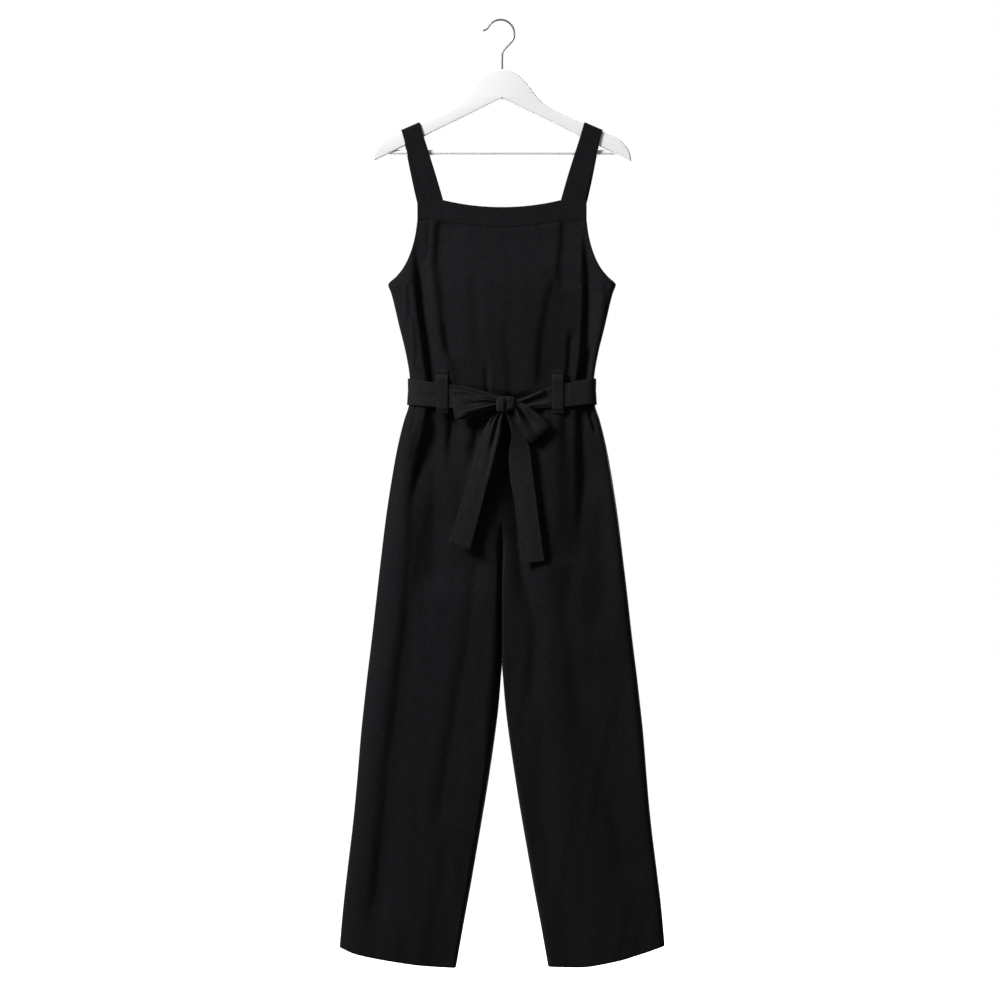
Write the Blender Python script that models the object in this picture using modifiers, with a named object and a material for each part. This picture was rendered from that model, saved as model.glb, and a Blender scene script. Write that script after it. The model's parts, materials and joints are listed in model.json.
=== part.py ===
"""A sleeveless belted jumpsuit hanging on a wooden coat hanger.

The cloth is cut as a maker would cut it: a front and a back bodice, a doubled band at each neckline, two straps,
four trouser panels, and a sash tied in a bow. Each piece is a thin wall of its own, 0.3 mm from its neighbours at
the seams. Sizes are in millimetres. The frame is +Z up with the front towards -Y. Its origin is the inside of the
hanger hook's crown, where the rail bears, and a drop is a distance below that point. Left and right are as seen
from the front.
"""

from math import atan, cos, pi, radians, sin

import bmesh
import bpy
import numpy as np
from mathutils import Vector

MM = 0.001


def table(columns, *rows):
    """A table with named columns, as one array for each column."""
    names = columns.split()
    return {name: np.array([row[i] for row in rows], float) for i, name in enumerate(names)}


# ------------------------------------------------------------------------------------------ cloth

SEAM = 0.3  # gap between neighbouring pieces
CLOTH = 1.5  # wall of one layer with its seam allowances
DOUBLE = 2.0  # wall of a folded and turned strip: straps, bands, sash
LAID = 0.5  # gap between a strip and the cloth that it lies on

# ------------------------------------------------------------------------------------------ hanger

WOOD_THICK = 13.0
WOOD_EDGE = 2.5  # rounding of the wood's edges
NOTCH = 131.8  # drop of the underside's apex, under the neck
WIRE = 3.4
CROOK_RADIUS = 23.5  # to the wire's centreline
CROOK_SIDE = -2.5  # the crook's centre lies this far to one side of the stem
STEM_TOP = 57.0
STEM_END = 133.5  # the riveted end shows just under the notch
BAR = 9.0
BAR_DROP = 224.4
BAR_HALF = 203.0
BORE_CLEAR = 0.3

# The upper edge of one arm from the neck outwards, its straight run, and its rounded tip.
ARM = table(
    "x drop",
    (0.0, 83.0),
    (13.0, 85.4),
    (31.0, 95.0),
    (46.5, 111.3),
    (57.3, 126.6),
    (72.5, 142.0),
    (92.0, 154.0),
    (115.5, 164.3),
    (156.4, 182.1),
    (184.0, 194.2),
    (197.0, 199.9),
    (209.8, 211.3),
    (217.8, 225.0),
    (220.0, 240.0),
)
STRAIGHT = (115.5, 197.0)  # the run of the arm that the straps lie on, by x

# ------------------------------------------------------------------------------------------ neckline and straps

BAND_HALF = 144.0
BAND_TOP = 305.5
BAND_HEIGHT = 34.5
BAND_SET_BACK = 2.0  # its upper edge leans back towards the hanger by this much
NECK_SAG = 12.0  # how far the neckline dips between the straps
NECK_HALF = 100.0  # half the width over which it dips
BACK_LOWER = 4.0  # the back neckline lies this much lower

STRAP_BASE_X, STRAP_BASE_WIDE = 121.0, 42.0
STRAP_TOP_X, STRAP_TOP_WIDE = 156.4, 34.0
STRAP_BACK_OUT = 2.5  # the back of each strap hangs this much further out
STRAP_OFF = 0.6  # gap between the strap and the wood

# ------------------------------------------------------------------------------------------ body

WAIST = 630.0  # the seam between bodice and trousers, under the sash
UNDERARM = 449.5
CROTCH_START, CROTCH = 842.0, 906.0  # where the centre seams turn under, and where they meet the inseams
HEM = 1594.0  # mean drop of the hems
CROWN = 4.0  # how much further forward the middle of a face stands than its flat ends
CORNER_POWER = 0.82  # 1 makes the sides elliptic, and less makes them squarer

# Half width, depth of the front and back faces, and width of the rounded sides.
BODICE = table(
    "drop half front back side",
    (339.5, 144.0, 13.5, 13.0, 36.0),
    (362.0, 147.0, 15.5, 14.5, 38.0),
    (381.0, 151.3, 18.0, 16.5, 40.0),
    (401.0, 158.1, 21.0, 19.0, 44.0),
    (421.0, 168.3, 24.5, 21.5, 48.0),
    (436.0, 180.5, 27.0, 23.0, 52.0),
    (449.5, 193.8, 28.5, 24.0, 54.0),
    (463.0, 189.0, 29.5, 25.0, 54.0),
    (523.0, 174.3, 31.5, 27.0, 50.0),
    (564.0, 164.2, 30.5, 28.0, 46.0),
    (605.0, 157.4, 28.7, 28.0, 44.0),
    (630.0, 156.0, 28.0, 28.0, 44.0),
)
# How far the armhole's edge has come round towards the side seam: 0 is level with the face, 1 is at the seam.
ARMHOLE = table("drop back", (339.5, 0.0), (381.0, 0.03), (410.0, 0.12), (430.0, 0.32), (443.0, 0.66), (449.5, 1.0))

# The outer seam's and the inseam's distance from the middle, then depths, then widths of the rounded sides.
TROUSERS = table(
    "drop outer inner front back side inside",
    (630.0, 156.0, 0.3, 28.0, 28.0, 44.0, 10.0),
    (654.0, 158.5, 0.3, 28.6, 29.0, 45.0, 10.0),
    (680.0, 166.6, 0.3, 30.5, 31.5, 47.0, 10.0),
    (721.0, 176.8, 0.3, 34.5, 36.5, 50.0, 10.0),
    (762.0, 184.6, 0.3, 37.5, 40.0, 52.0, 11.0),
    (843.0, 197.2, 0.5, 40.0, 43.0, 54.0, 12.0),
    (906.0, 205.0, 1.2, 39.5, 42.0, 54.0, 15.0),
    (965.0, 211.8, 1.5, 38.0, 40.0, 54.0, 20.0),
    (1047.0, 221.0, 1.8, 36.5, 38.0, 54.0, 26.0),
    (1110.0, 228.8, 2.2, 35.5, 36.5, 53.0, 31.0),
    (1169.0, 235.4, 6.0, 34.5, 35.5, 52.0, 35.0),
    (1210.0, 239.7, 11.0, 33.5, 34.5, 52.0, 38.0),
    (1292.0, 246.6, 23.0, 32.0, 33.0, 50.0, 42.0),
    (1373.0, 254.2, 36.5, 30.0, 31.0, 48.0, 44.0),
    (1455.0, 262.6, 51.9, 28.5, 29.0, 46.0, 44.0),
    (1537.0, 270.2, 68.0, 27.0, 28.0, 44.0, 42.0),
    (1620.0, 277.0, 83.0, 26.0, 27.0, 42.0, 40.0),
)
# The hem's drop, by its fraction of the way from the outer seam to the inseam.
HEM_LINE = {
    "left": table("across drop", (0.0, 1577.0), (0.14, 1588.5), (0.4, 1599.0), (0.75, 1608.5), (1.0, 1611.5)),
    "right": table("across drop", (0.0, 1574.0), (0.22, 1589.5), (0.4, 1600.0), (0.75, 1610.5), (1.0, 1609.5)),
}
SLANT_FROM = 1330.0  # rows above this drop are level, and below it they lean into the hem
HEM_FLARE = 0.1  # the hem's corners swing outwards by this share of what they drop

# ------------------------------------------------------------------------------------------ folds

# Each fold passes through three points. Depth is how far it goes in, width is from its middle to its steepest
# part, and fade is the length over which its ends die away.
FOLD_COLUMNS = "x0 drop0 x1 drop1 x2 drop2 depth width fade"
FOLDS = {
    "bodice_front": table(
        FOLD_COLUMNS,
        (-146.0, 410.0, -137.0, 500.0, -122.0, 650.0, 11.0, 8.0, 60.0),
        (-109.0, 345.0, -107.0, 470.0, -88.0, 560.0, 5.0, 10.0, 36.0),
        (104.0, 345.0, 66.0, 512.0, 68.0, 575.0, 5.0, 10.0, 36.0),
        (141.0, 395.0, 142.0, 490.0, 129.0, 650.0, 11.0, 8.0, 60.0),
    ),
    "bodice_back": table(
        FOLD_COLUMNS,
        (-143.0, 430.0, -136.0, 520.0, -124.0, 650.0, 9.0, 8.5, 60.0),
        (-78.0, 480.0, -76.0, 530.0, -74.0, 575.0, 5.0, 10.0, 40.0),
        (30.0, 500.0, 27.0, 540.0, 24.0, 580.0, 4.0, 10.0, 36.0),
        (139.0, 430.0, 134.0, 520.0, 122.0, 650.0, 9.0, 8.5, 60.0),
    ),
    "leg_front_left": table(
        FOLD_COLUMNS,
        (-122.0, 630.0, -146.0, 750.0, -176.0, 930.0, 11.0, 9.0, 90.0),
        (-78.0, 980.0, -96.0, 1150.0, -114.0, 1330.0, 4.5, 14.0, 120.0),
    ),
    "leg_front_right": table(
        FOLD_COLUMNS,
        (92.0, 1080.0, 114.0, 1220.0, 140.0, 1400.0, 4.5, 14.0, 120.0),
        (129.0, 630.0, 131.0, 760.0, 150.0, 960.0, 11.0, 8.5, 90.0),
    ),
    "leg_back_left": table(
        FOLD_COLUMNS,
        (-124.0, 630.0, -140.0, 760.0, -160.0, 940.0, 9.0, 9.0, 90.0),
        (-92.0, 1040.0, -112.0, 1220.0, -136.0, 1420.0, 4.5, 14.0, 120.0),
    ),
    "leg_back_right": table(
        FOLD_COLUMNS,
        (86.0, 1020.0, 108.0, 1200.0, 132.0, 1400.0, 4.5, 14.0, 120.0),
        (122.0, 630.0, 142.0, 770.0, 166.0, 960.0, 9.0, 9.0, 90.0),
    ),
}
COLUMN_FLAT, COLUMN_BEND = 42.0, 19.0  # spacing of a panel's columns in the middle, and round its sides
EDGE_CALM = 12.0  # folds die away this near a side seam
BAND_CALM = 30.0  # and this near the neckline's band
FOLD_REACH = 1.5  # columns of points stand this many fold widths to each side of a fold's middle
FOLD_ROOM, EDGE_ROOM = 0.45, 0.85  # but no further than this share of the way to the next fold, or to the edge
DEEP_FOLD = 6.0  # a fold this deep or deeper takes two more columns,
STEEP = 0.45  # at this share of the way to its outer ones
FOLD_LIP = 0.3  # share of a fold's depth by which the cloth swells beside it
SASH_CALM = (36.0, 34.0)  # swells are pressed flat within the first of the waist, and free past both together

# ------------------------------------------------------------------------------------------ sash

# The sash's upper and lower edges across the front. It narrows and dips where it is pulled into the knot.
SASH = table(
    "x top bottom",
    (-161.0, 608.5, 654.0),
    (-111.0, 616.5, 658.0),
    (-65.0, 623.0, 661.0),
    (-29.0, 631.0, 664.0),
    (-10.0, 638.0, 666.0),
    (23.0, 639.0, 665.0),
    (40.0, 635.0, 662.0),
    (60.0, 627.5, 660.0),
    (85.0, 620.5, 659.0),
    (111.0, 616.5, 657.0),
    (135.0, 612.0, 654.0),
    (161.0, 608.5, 652.0),
)
SASH_OFF = 1.2  # gap between the body and the sash
SASH_BEND = 0.2  # share of a face's length, at each end, that takes the closer columns of the sash's bend

CARRIER_X = {"left": (-111.4, -91.9), "right": (85.0, 104.5)}  # the belt loops' edges
CARRIER_TOP, CARRIER_BOTTOM = 595.0, 668.5
CARRIER_SEWN = 7.0  # length at each end that lies on the body
CARRIER_WALL = 1.6

KNOT_X, KNOT_DROP, KNOT_Y = 6.4, 653.5, -45.4
KNOT_WIDE, KNOT_DEEP, KNOT_TALL = 33.0, 18.0, 27.0
KNOT_POWER = 0.72  # below 1 the knot is squarer than an ellipsoid
KNOT_GROOVE_X, KNOT_GROOVE_WIDE, KNOT_GROOVE = 6.1, 2.2, 0.22  # the valley between its two wraps

# The two bows of the tie. Each row is a line across the strip, from the knot outwards.
BOW_COLUMNS = "share x_up drop_up x_low drop_low"
BOWS = {
    "left": table(
        BOW_COLUMNS,
        (0.0, -10.6, 643.0, -10.6, 654.5),
        (0.25, -29.0, 638.5, -29.0, 661.0),
        (0.52, -51.0, 638.5, -50.0, 668.0),
        (0.78, -70.0, 639.0, -67.0, 674.5),
        (1.0, -86.4, 640.0, -79.6, 679.5),
    ),
    "right": table(
        BOW_COLUMNS,
        (0.0, 24.4, 649.0, 21.2, 664.0),
        (0.2, 38.0, 653.0, 22.0, 680.0),
        (0.45, 51.0, 661.5, 29.5, 695.5),
        (0.72, 67.0, 675.5, 39.5, 709.5),
        (1.0, 83.0, 690.0, 51.5, 720.0),
    ),
}
BOW_BULK = table(
    "share deep stand",
    (0.0, 4.8, 4.2),
    (0.3, 8.5, 1.0),
    (0.65, 12.0, 0.0),
    (0.9, 11.5, 0.0),
    (1.0, 11.5, 0.0),
)
BOW_TURN = 0.9  # share of the way out at which a bow starts to turn back
BOW_REAR = {"left": 38.8, "right": 39.6}  # least distance from the middle of the body to a bow's rear face
BOW_OVER = {"left": 1.2, "right": 3.4}  # clearance of a bow over the trousers, and over the tail on the right

# The tails, from the knot down. Stand is the gap to the trousers, and gather swells the strip's middle forward.
TAIL_COLUMNS = "share x_left drop_left x_right drop_right stand gather"
TAILS = {
    "left": table(
        TAIL_COLUMNS,
        (0.0, -11.5, 668.0, 3.5, 668.0, 6.0, 3.5),
        (0.07, -23.0, 682.0, 0.5, 682.0, 4.5, 4.5),
        (0.15, -31.0, 697.0, -0.7, 697.0, 3.0, 3.5),
        (0.32, -43.0, 735.0, -9.0, 733.0, 0.8, 1.5),
        (0.66, -66.5, 811.0, -31.5, 815.0, LAID, 0.6),
        (1.0, -90.0, 887.0, -54.4, 899.0, LAID, 0.0),
    ),
    "right": table(
        TAIL_COLUMNS,
        (0.0, 7.5, 668.5, 18.5, 668.5, 1.2, 0.4),
        (0.09, 10.5, 690.0, 33.0, 690.0, 0.9, 0.4),
        (0.2, 14.3, 719.0, 45.6, 719.0, LAID, 0.3),
        (0.6, 24.0, 821.0, 59.0, 820.0, LAID, 0.8),
        (1.0, 34.0, 923.8, 72.3, 919.5, LAID, 0.0),
    ),
}


# ------------------------------------------------------------------------------------------ curves


def smooth(t):
    t = np.clip(t, 0.0, 1.0)
    return t * t * (3 - 2 * t)


def read(data, column, at, key="drop"):
    """A column's value at one place or several, on a smooth curve that never overshoots its rows."""
    x, y = data[key], data[column]
    step = np.diff(x)
    rate = np.diff(y) / step
    same_way = rate[:-1] * rate[1:] > 0
    total = np.where(same_way, rate[:-1] + rate[1:], 1.0)
    slope = np.concatenate([rate[:1], np.where(same_way, 2 * rate[:-1] * rate[1:] / total, 0.0), rate[-1:]])
    at = np.clip(np.asarray(at, float), x[0], x[-1])
    i = np.clip(np.searchsorted(x, at, side="right") - 1, 0, len(step) - 1)
    t = (at - x[i]) / step[i]
    ends = (1 + 2 * t) * (1 - t) ** 2 * y[i] + t * t * (3 - 2 * t) * y[i + 1]
    return ends + step[i] * (t * (1 - t) ** 2 * slope[i] + t * t * (t - 1) * slope[i + 1])


def lengths(line):
    """Distance along a line at each of its points."""
    return np.concatenate([[0.0], np.cumsum(np.linalg.norm(np.diff(line, axis=0), axis=1))])


def along_line(line, at):
    """The points at some distances along a line."""
    along = lengths(line)
    return np.stack([np.interp(at, along, line[:, i]) for i in range(line.shape[1])], axis=1)


def outward(line, at, step=0.4):
    """Unit normals of a front cross-section, away from the body, at some distances along it."""
    whole = lengths(line)[-1]
    tangent = along_line(line, np.clip(at + step, 0, whole)) - along_line(line, np.clip(at - step, 0, whole))
    normal = np.stack([tangent[:, 1], -tangent[:, 0]], axis=1)
    return normal / np.linalg.norm(normal, axis=1)[:, None]


# ------------------------------------------------------------------------------------------ cross-sections


def corner(width, depth, back, points=24):
    """A quarter round from the flat out to the edge, as distances outwards and depths."""
    end = np.arcsin((1.0 - min(1.0, max(0.0, back))) ** (1 / CORNER_POWER))
    angle = np.linspace(pi / 2, end, points)
    out = width * np.clip(np.cos(angle), 0, 1) ** CORNER_POWER
    return out, depth * np.clip(np.sin(angle), 0, 1) ** CORNER_POWER


def section(x_left, x_right, depth, round_left, round_right, back_left, back_right, rise):
    """A face's cross-section seen from above, from its left edge to its right one, with y towards the back."""
    out_l, up_l = corner(round_left, depth, back_left)
    out_r, up_r = corner(round_right, depth, back_right)
    flat_l, flat_r = x_left + out_l[-1], x_right - out_r[-1]
    flat = np.linspace(flat_l, flat_r, 42)[1:-1]
    x = np.concatenate([flat_l - out_l[::-1], flat, flat_r + out_r])
    deep = np.concatenate([up_l[::-1], np.full(len(flat), depth), up_r])
    return np.stack([x, -(deep + rise(x))], axis=1)


def whole_rise(x, half):
    """The swell of a face across the whole body."""
    return CROWN * (1 - np.clip(x / half, -1, 1) ** 2) ** 2


def bodice_half(drop):
    return float(read(BODICE, "half", drop))


def bodice_line(drop, face):
    half, depth, side = (float(read(BODICE, column, drop)) for column in ("half", face, "side"))
    back = float(read(ARMHOLE, "back", drop)) if drop < UNDERARM else 1.0
    return section(-half, half, depth, side, side, back, back, lambda x: whole_rise(x, half))


def leg_edges(drop, side):
    outer, inner = float(read(TROUSERS, "outer", drop)), float(read(TROUSERS, "inner", drop))
    return (-outer, -inner) if side == "left" else (inner, outer)


def leg_line(drop, side, face):
    left, right = leg_edges(drop, side)
    outer = max(abs(left), abs(right))
    depth, round_out, round_in = (float(read(TROUSERS, column, drop)) for column in (face, "side", "inside"))
    turned = min(1.0, max(0.0, (drop - CROTCH_START) / (CROTCH - CROTCH_START)))
    under = 1 - cos(pi / 2 * turned)
    own = float(smooth((drop - WAIST) / (CROTCH_START - WAIST)))

    def rise(x):
        t = np.clip((x - left) / (right - left) * 2 - 1, -1, 1)
        return (1 - own) * whole_rise(x, outer) + own * CROWN * (1 - t * t) ** 2

    if side == "left":
        return section(left, right, depth, round_out, round_in, 1.0, under, rise)
    return section(left, right, depth, round_in, round_out, under, 1.0, rise)


def body_line(drop, face):
    """The whole body's cross-section without its folds."""
    if drop < WAIST:
        return bodice_line(drop, face)
    return np.concatenate([leg_line(drop, side, face) for side in ("left", "right")])


def front_depth(x, drop):
    """How far forward the body stands at a place, its folds bridged over."""
    line = body_line(drop, "front")
    return float(np.interp(x, line[:, 0], -line[:, 1]))


# ------------------------------------------------------------------------------------------ folds in a panel


def fold_place(folds, k, drop, edges_at):
    """Where fold k crosses a drop. Past its ends it keeps its share of the panel's width."""
    drops = [folds[f"drop{i}"][k] for i in range(3)]
    within = min(max(drop, drops[0]), drops[2])
    x = np.interp(within, drops, [folds[f"x{i}"][k] for i in range(3)])
    (l0, r0), (l1, r1) = edges_at(within), edges_at(drop)
    return l1 + (x - l0) / (r0 - l0) * (r1 - l1)


def fold_push(folds, drop, along, places, whole):
    """How far the folds move the cloth outwards at each distance along a cross-section."""
    push = np.zeros_like(along)
    from_band = smooth((drop - BAND_TOP - BAND_HEIGHT - SEAM) / BAND_CALM)
    free = smooth((abs(drop - WAIST) - SASH_CALM[0]) / SASH_CALM[1])
    for k, place in enumerate(places):
        depth, width, fade = folds["depth"][k], folds["width"][k], folds["fade"][k]
        grow = smooth((drop - folds["drop0"][k]) / fade + 1) * smooth((folds["drop2"][k] - drop) / fade + 1)
        off = (along - place) / width
        lips = np.exp(-((np.abs(off) - 1.9) ** 2))
        push += grow * depth * (FOLD_LIP * free * lips - np.exp(-(off**2)))
    return push * from_band * smooth(along / EDGE_CALM) * smooth((whole - along) / EDGE_CALM)


def panel(line_at, edges_at, drops, folds, edge=1.2):
    """A panel's grid of points. Its columns follow the folds, with a narrow one along each seam."""
    lines = [line_at(drop) for drop in drops]
    wholes = [lengths(line)[-1] for line in lines]
    places, marks = [], []
    for line, whole, drop in zip(lines, wholes, drops, strict=True):
        along = lengths(line)
        here = [np.interp(fold_place(folds, k, drop, edges_at), line[:, 0], along) for k in range(len(folds["x0"]))]
        rooms = np.diff([edge, *here, whole - edge]) * [EDGE_ROOM, *[FOLD_ROOM] * (len(here) - 1), EDGE_ROOM]
        row = [0.0, edge]
        for k, middle in enumerate(here):
            before, after = (min(FOLD_REACH * folds["width"][k], room) for room in rooms[k : k + 2])
            if folds["depth"][k] >= DEEP_FOLD:
                row += [middle - before, middle - STEEP * before, middle, middle + STEEP * after, middle + after]
            else:
                row += [middle - before, middle, middle + after]
        places.append(here)
        marks.append(row + [whole - edge, whole])
    gaps = np.diff(np.array(marks), axis=1).mean(axis=0)
    spacing = np.full(len(gaps), COLUMN_FLAT)
    spacing[[1, -2]] = COLUMN_BEND
    between = np.maximum(1, np.round(gaps / spacing).astype(int))
    grid = []
    for line, whole, here, mark, drop in zip(lines, wholes, places, marks, drops, strict=True):
        at = [mark[0]]
        for a, b, n in zip(mark[:-1], mark[1:], between, strict=True):
            at += list(a + (b - a) * np.arange(1, n + 1) / n)
        at = np.array(at)
        point = along_line(line, at) + outward(line, at) * fold_push(folds, drop, at, here, whole)[:, None]
        grid.append(np.column_stack([point, np.full(len(at), -drop)]))
    grid = np.array(grid)
    grid[:, :, 1] = np.minimum(grid[:, :, 1], -SEAM / 2 - 0.05)
    return grid


# ------------------------------------------------------------------------------------------ Blender


def clear_scene():
    for item in list(bpy.data.objects):
        bpy.data.objects.remove(item, do_unlink=True)


def collection(name, hidden=False):
    made = bpy.data.collections.new(name)
    bpy.context.scene.collection.children.link(made)
    made.hide_render = hidden
    return made


def finish(name, rgb, roughness, metallic=0.0):
    """A material with a colour, a roughness and a metallic value."""
    made = bpy.data.materials.new(name)
    made.use_nodes = True
    shader = made.node_tree.nodes["Principled BSDF"]
    shader.inputs["Base Color"].default_value = (*rgb, 1.0)
    shader.inputs["Roughness"].default_value = roughness
    shader.inputs["Metallic"].default_value = metallic
    made.diffuse_color = (*rgb, 1.0)
    return made


def place(obj, material):
    PARTS.objects.link(obj)
    obj.data.materials.append(material)
    return obj


def sheet(name, grid, thick, flip=False, ring=False):
    """A wall of cloth on a grid of its outer points. Solidify gives it its thickness, inwards."""
    rows, columns = grid.shape[:2]
    faces = []
    for r in range(rows - 1):
        for c in range(columns if ring else columns - 1):
            d = (c + 1) % columns
            face = (r * columns + c, (r + 1) * columns + c, (r + 1) * columns + d, r * columns + d)
            faces.append(face[::-1] if flip else face)
    mesh = bpy.data.meshes.new(name)
    mesh.from_pydata((grid.reshape(-1, 3) * MM).tolist(), [], faces)
    mesh.shade_smooth()
    obj = place(bpy.data.objects.new(name, mesh), BLACK_CLOTH)
    wall = obj.modifiers.new("wall", "SOLIDIFY")
    wall.thickness = thick * MM
    wall.offset = -1
    return obj


def as_mesh(obj):
    """A curve object made a mesh object of the same name, its caps welded on."""
    graph = bpy.context.evaluated_depsgraph_get()
    mesh = bpy.data.meshes.new_from_object(obj.evaluated_get(graph))
    made = bpy.data.objects.new(obj.name + "_mesh", mesh)
    made.matrix_world = obj.matrix_world
    name, home = obj.name, obj.users_collection[0]
    bpy.data.objects.remove(obj, do_unlink=True)
    made.name = name
    home.objects.link(made)
    work = bmesh.new()
    work.from_mesh(mesh)
    bmesh.ops.remove_doubles(work, verts=work.verts, dist=0.02 * MM)
    bmesh.ops.recalc_face_normals(work, faces=work.faces)
    work.to_mesh(mesh)
    work.free()
    return made


def rod(name, start, end, radius, home, sides=20):
    """A cylinder between two points."""
    a, b = Vector(start) * MM, Vector(end) * MM
    work = bmesh.new()
    size = {"radius1": radius * MM, "radius2": radius * MM, "depth": (b - a).length}
    bmesh.ops.create_cone(work, cap_ends=True, segments=sides, **size)
    mesh = bpy.data.meshes.new(name)
    work.to_mesh(mesh)
    work.free()
    mesh.shade_smooth()
    mesh.set_sharp_from_angle(angle=radians(40))
    obj = bpy.data.objects.new(name, mesh)
    obj.location = (a + b) / 2
    obj.rotation_mode = "QUATERNION"
    obj.rotation_quaternion = (b - a).to_track_quat("Z", "Y")
    home.objects.link(obj)
    return obj


def cut(obj, cutter):
    cutter.hide_render = True
    cutter.display_type = "WIRE"
    hole = obj.modifiers.new("cut by " + cutter.name, "BOOLEAN")
    hole.operation = "DIFFERENCE"
    hole.object = cutter


# ------------------------------------------------------------------------------------------ the hanger


def hanger_wood():
    """The shaped wooden body: a flat outline with rounded edges, bored for the hook and for the bar."""
    half = [(x, -drop) for x, drop in zip(ARM["x"], ARM["drop"], strict=True)]
    outline = [(-x, z) for x, z in half[:0:-1]] + half + [(0.0, -NOTCH)]
    sharp = {(0.0, -NOTCH), half[-1], (-half[-1][0], half[-1][1])}
    data = bpy.data.curves.new("hanger_wood", "CURVE")
    data.dimensions = "2D"
    data.fill_mode = "BOTH"
    data.resolution_u = 3
    data.extrude = (WOOD_THICK / 2 - WOOD_EDGE) * MM
    data.bevel_depth = WOOD_EDGE * MM
    data.bevel_resolution = 1
    data.offset = -WOOD_EDGE * MM
    line = data.splines.new("BEZIER")
    line.use_cyclic_u = True
    line.bezier_points.add(len(outline) - 1)
    for spot, (x, z) in zip(line.bezier_points, outline, strict=True):
        spot.co = (x * MM, z * MM, 0.0)
        spot.handle_left_type = spot.handle_right_type = "VECTOR" if (x, z) in sharp else "AUTO"
    obj = place(bpy.data.objects.new("hanger_wood", data), PAINTED_WOOD)
    obj.rotation_euler = (pi / 2, 0.0, 0.0)
    bpy.context.view_layer.update()
    wood = as_mesh(obj)
    stem_bore = ((0, 0, -NOTCH - 12), (0, 0, -70))
    cut(wood, rod("stem_bore", *stem_bore, WIRE / 2 + BORE_CLEAR, CUTTERS, sides=14))
    for side, name in ((-1, "left"), (1, "right")):
        ends = ((side * 130, 0, -BAR_DROP), (side * (BAR_HALF + BORE_CLEAR), 0, -BAR_DROP))
        cut(wood, rod(f"bar_bore_{name}", *ends, BAR / 2 + BORE_CLEAR, CUTTERS))
    wood.data.shade_smooth()
    wood.data.set_sharp_from_angle(angle=radians(35))


def hanger_hook():
    """The bent wire hook: a straight stem through the wood, a swan neck, an open crook and a flared end."""
    inside = CROOK_RADIUS - WIRE / 2
    centre = np.array([CROOK_SIDE, -((inside**2 - CROOK_SIDE**2) ** 0.5)])
    turn = np.radians(np.linspace(-6, 149, 18))
    arc = centre + CROOK_RADIUS * np.stack([np.cos(turn), np.sin(turn)], axis=1)
    start, bend = np.array([0.5, -STEM_TOP]), arc[0]
    pulls = (start, start + (0.3, 11.0), bend + (1.5, -12.5), bend)
    t = np.linspace(0, 1, 11)[:-1, None]
    weights = ((1 - t) ** 3, 3 * t * (1 - t) ** 2, 3 * t * t * (1 - t), t**3)
    neck = sum(weight * pull for weight, pull in zip(weights, pulls, strict=True))
    flare = arc[-1] + np.array([(-1.2, -2.6), (-3.6, -4.8), (-7.0, -6.4), (-9.6, -7.0)])
    stem = np.array([(0.0, -STEM_END), (0.0, -100.0), (0.3, -STEM_TOP - 8.0)])
    route = np.concatenate([stem, neck, arc, flare])
    data = bpy.data.curves.new("hanger_hook", "CURVE")
    data.dimensions = "3D"
    data.bevel_depth = WIRE / 2 * MM
    data.bevel_resolution = 2
    data.use_fill_caps = True
    line = data.splines.new("POLY")
    line.points.add(len(route) - 1)
    for spot, (x, z) in zip(line.points, route, strict=True):
        spot.co = (x * MM, 0.0, z * MM, 1.0)
    place(bpy.data.objects.new("hanger_hook", data), STEEL)


def hanger_bar():
    ends = ((-BAR_HALF, 0, -BAR_DROP), (BAR_HALF, 0, -BAR_DROP))
    bar = rod("hanger_bar", *ends, BAR / 2, PARTS)
    bar.data.materials.append(PAINTED_WOOD)


# ------------------------------------------------------------------------------------------ bodice


def neck_dip(x):
    """How far the neckline has dipped at x."""
    return NECK_SAG * np.clip(1 - (x / NECK_HALF) ** 2, 0, 1)


def lower(face):
    return BACK_LOWER if face == "back" else 0.0


def bodice_panel(face):
    """A front or back panel, from the band's seam to the waist seam. It returns its upper edge."""
    top = BAND_TOP + BAND_HEIGHT + SEAM / 2
    drops = [top, 348, 362, 381, 401, 420, 434, 443, UNDERARM, 463, 485, 512, 540, 568, 592, 611, WAIST - SEAM / 2]
    name = f"bodice_{face}"
    grid = panel(
        lambda drop: bodice_line(drop, face),
        lambda drop: (-bodice_half(drop), bodice_half(drop)),
        drops,
        FOLDS[name],
    )
    for row in grid:
        near = smooth(1 - (-row[:, 2] - top) / 90)
        row[:, 2] -= near * (neck_dip(row[:, 0]) + lower(face))
    if face == "back":
        grid[:, :, 1] *= -1
    sheet(name, grid, CLOTH, flip=face == "back")
    return grid[0]


def neck_band(face, edge):
    """The doubled strip that finishes a neckline, dipping between the straps, sewn along a panel's upper edge."""
    x = edge[:, 0]
    rows = []
    for share in (0.0, 0.5, 1.0):
        drop = BAND_TOP + share * (BAND_HEIGHT - SEAM / 2)
        depth = BODICE[face][0] - BAND_SET_BACK * (1 - share) + whole_rise(x, BAND_HALF)
        rows.append(np.column_stack([x, -depth, -(drop + neck_dip(x) + lower(face))]))
    grid = np.array(rows)
    if face == "back":
        grid[:, :, 1] *= -1
    sheet(f"neck_band_{face}", grid, DOUBLE, flip=face == "back")


# ------------------------------------------------------------------------------------------ straps


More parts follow.
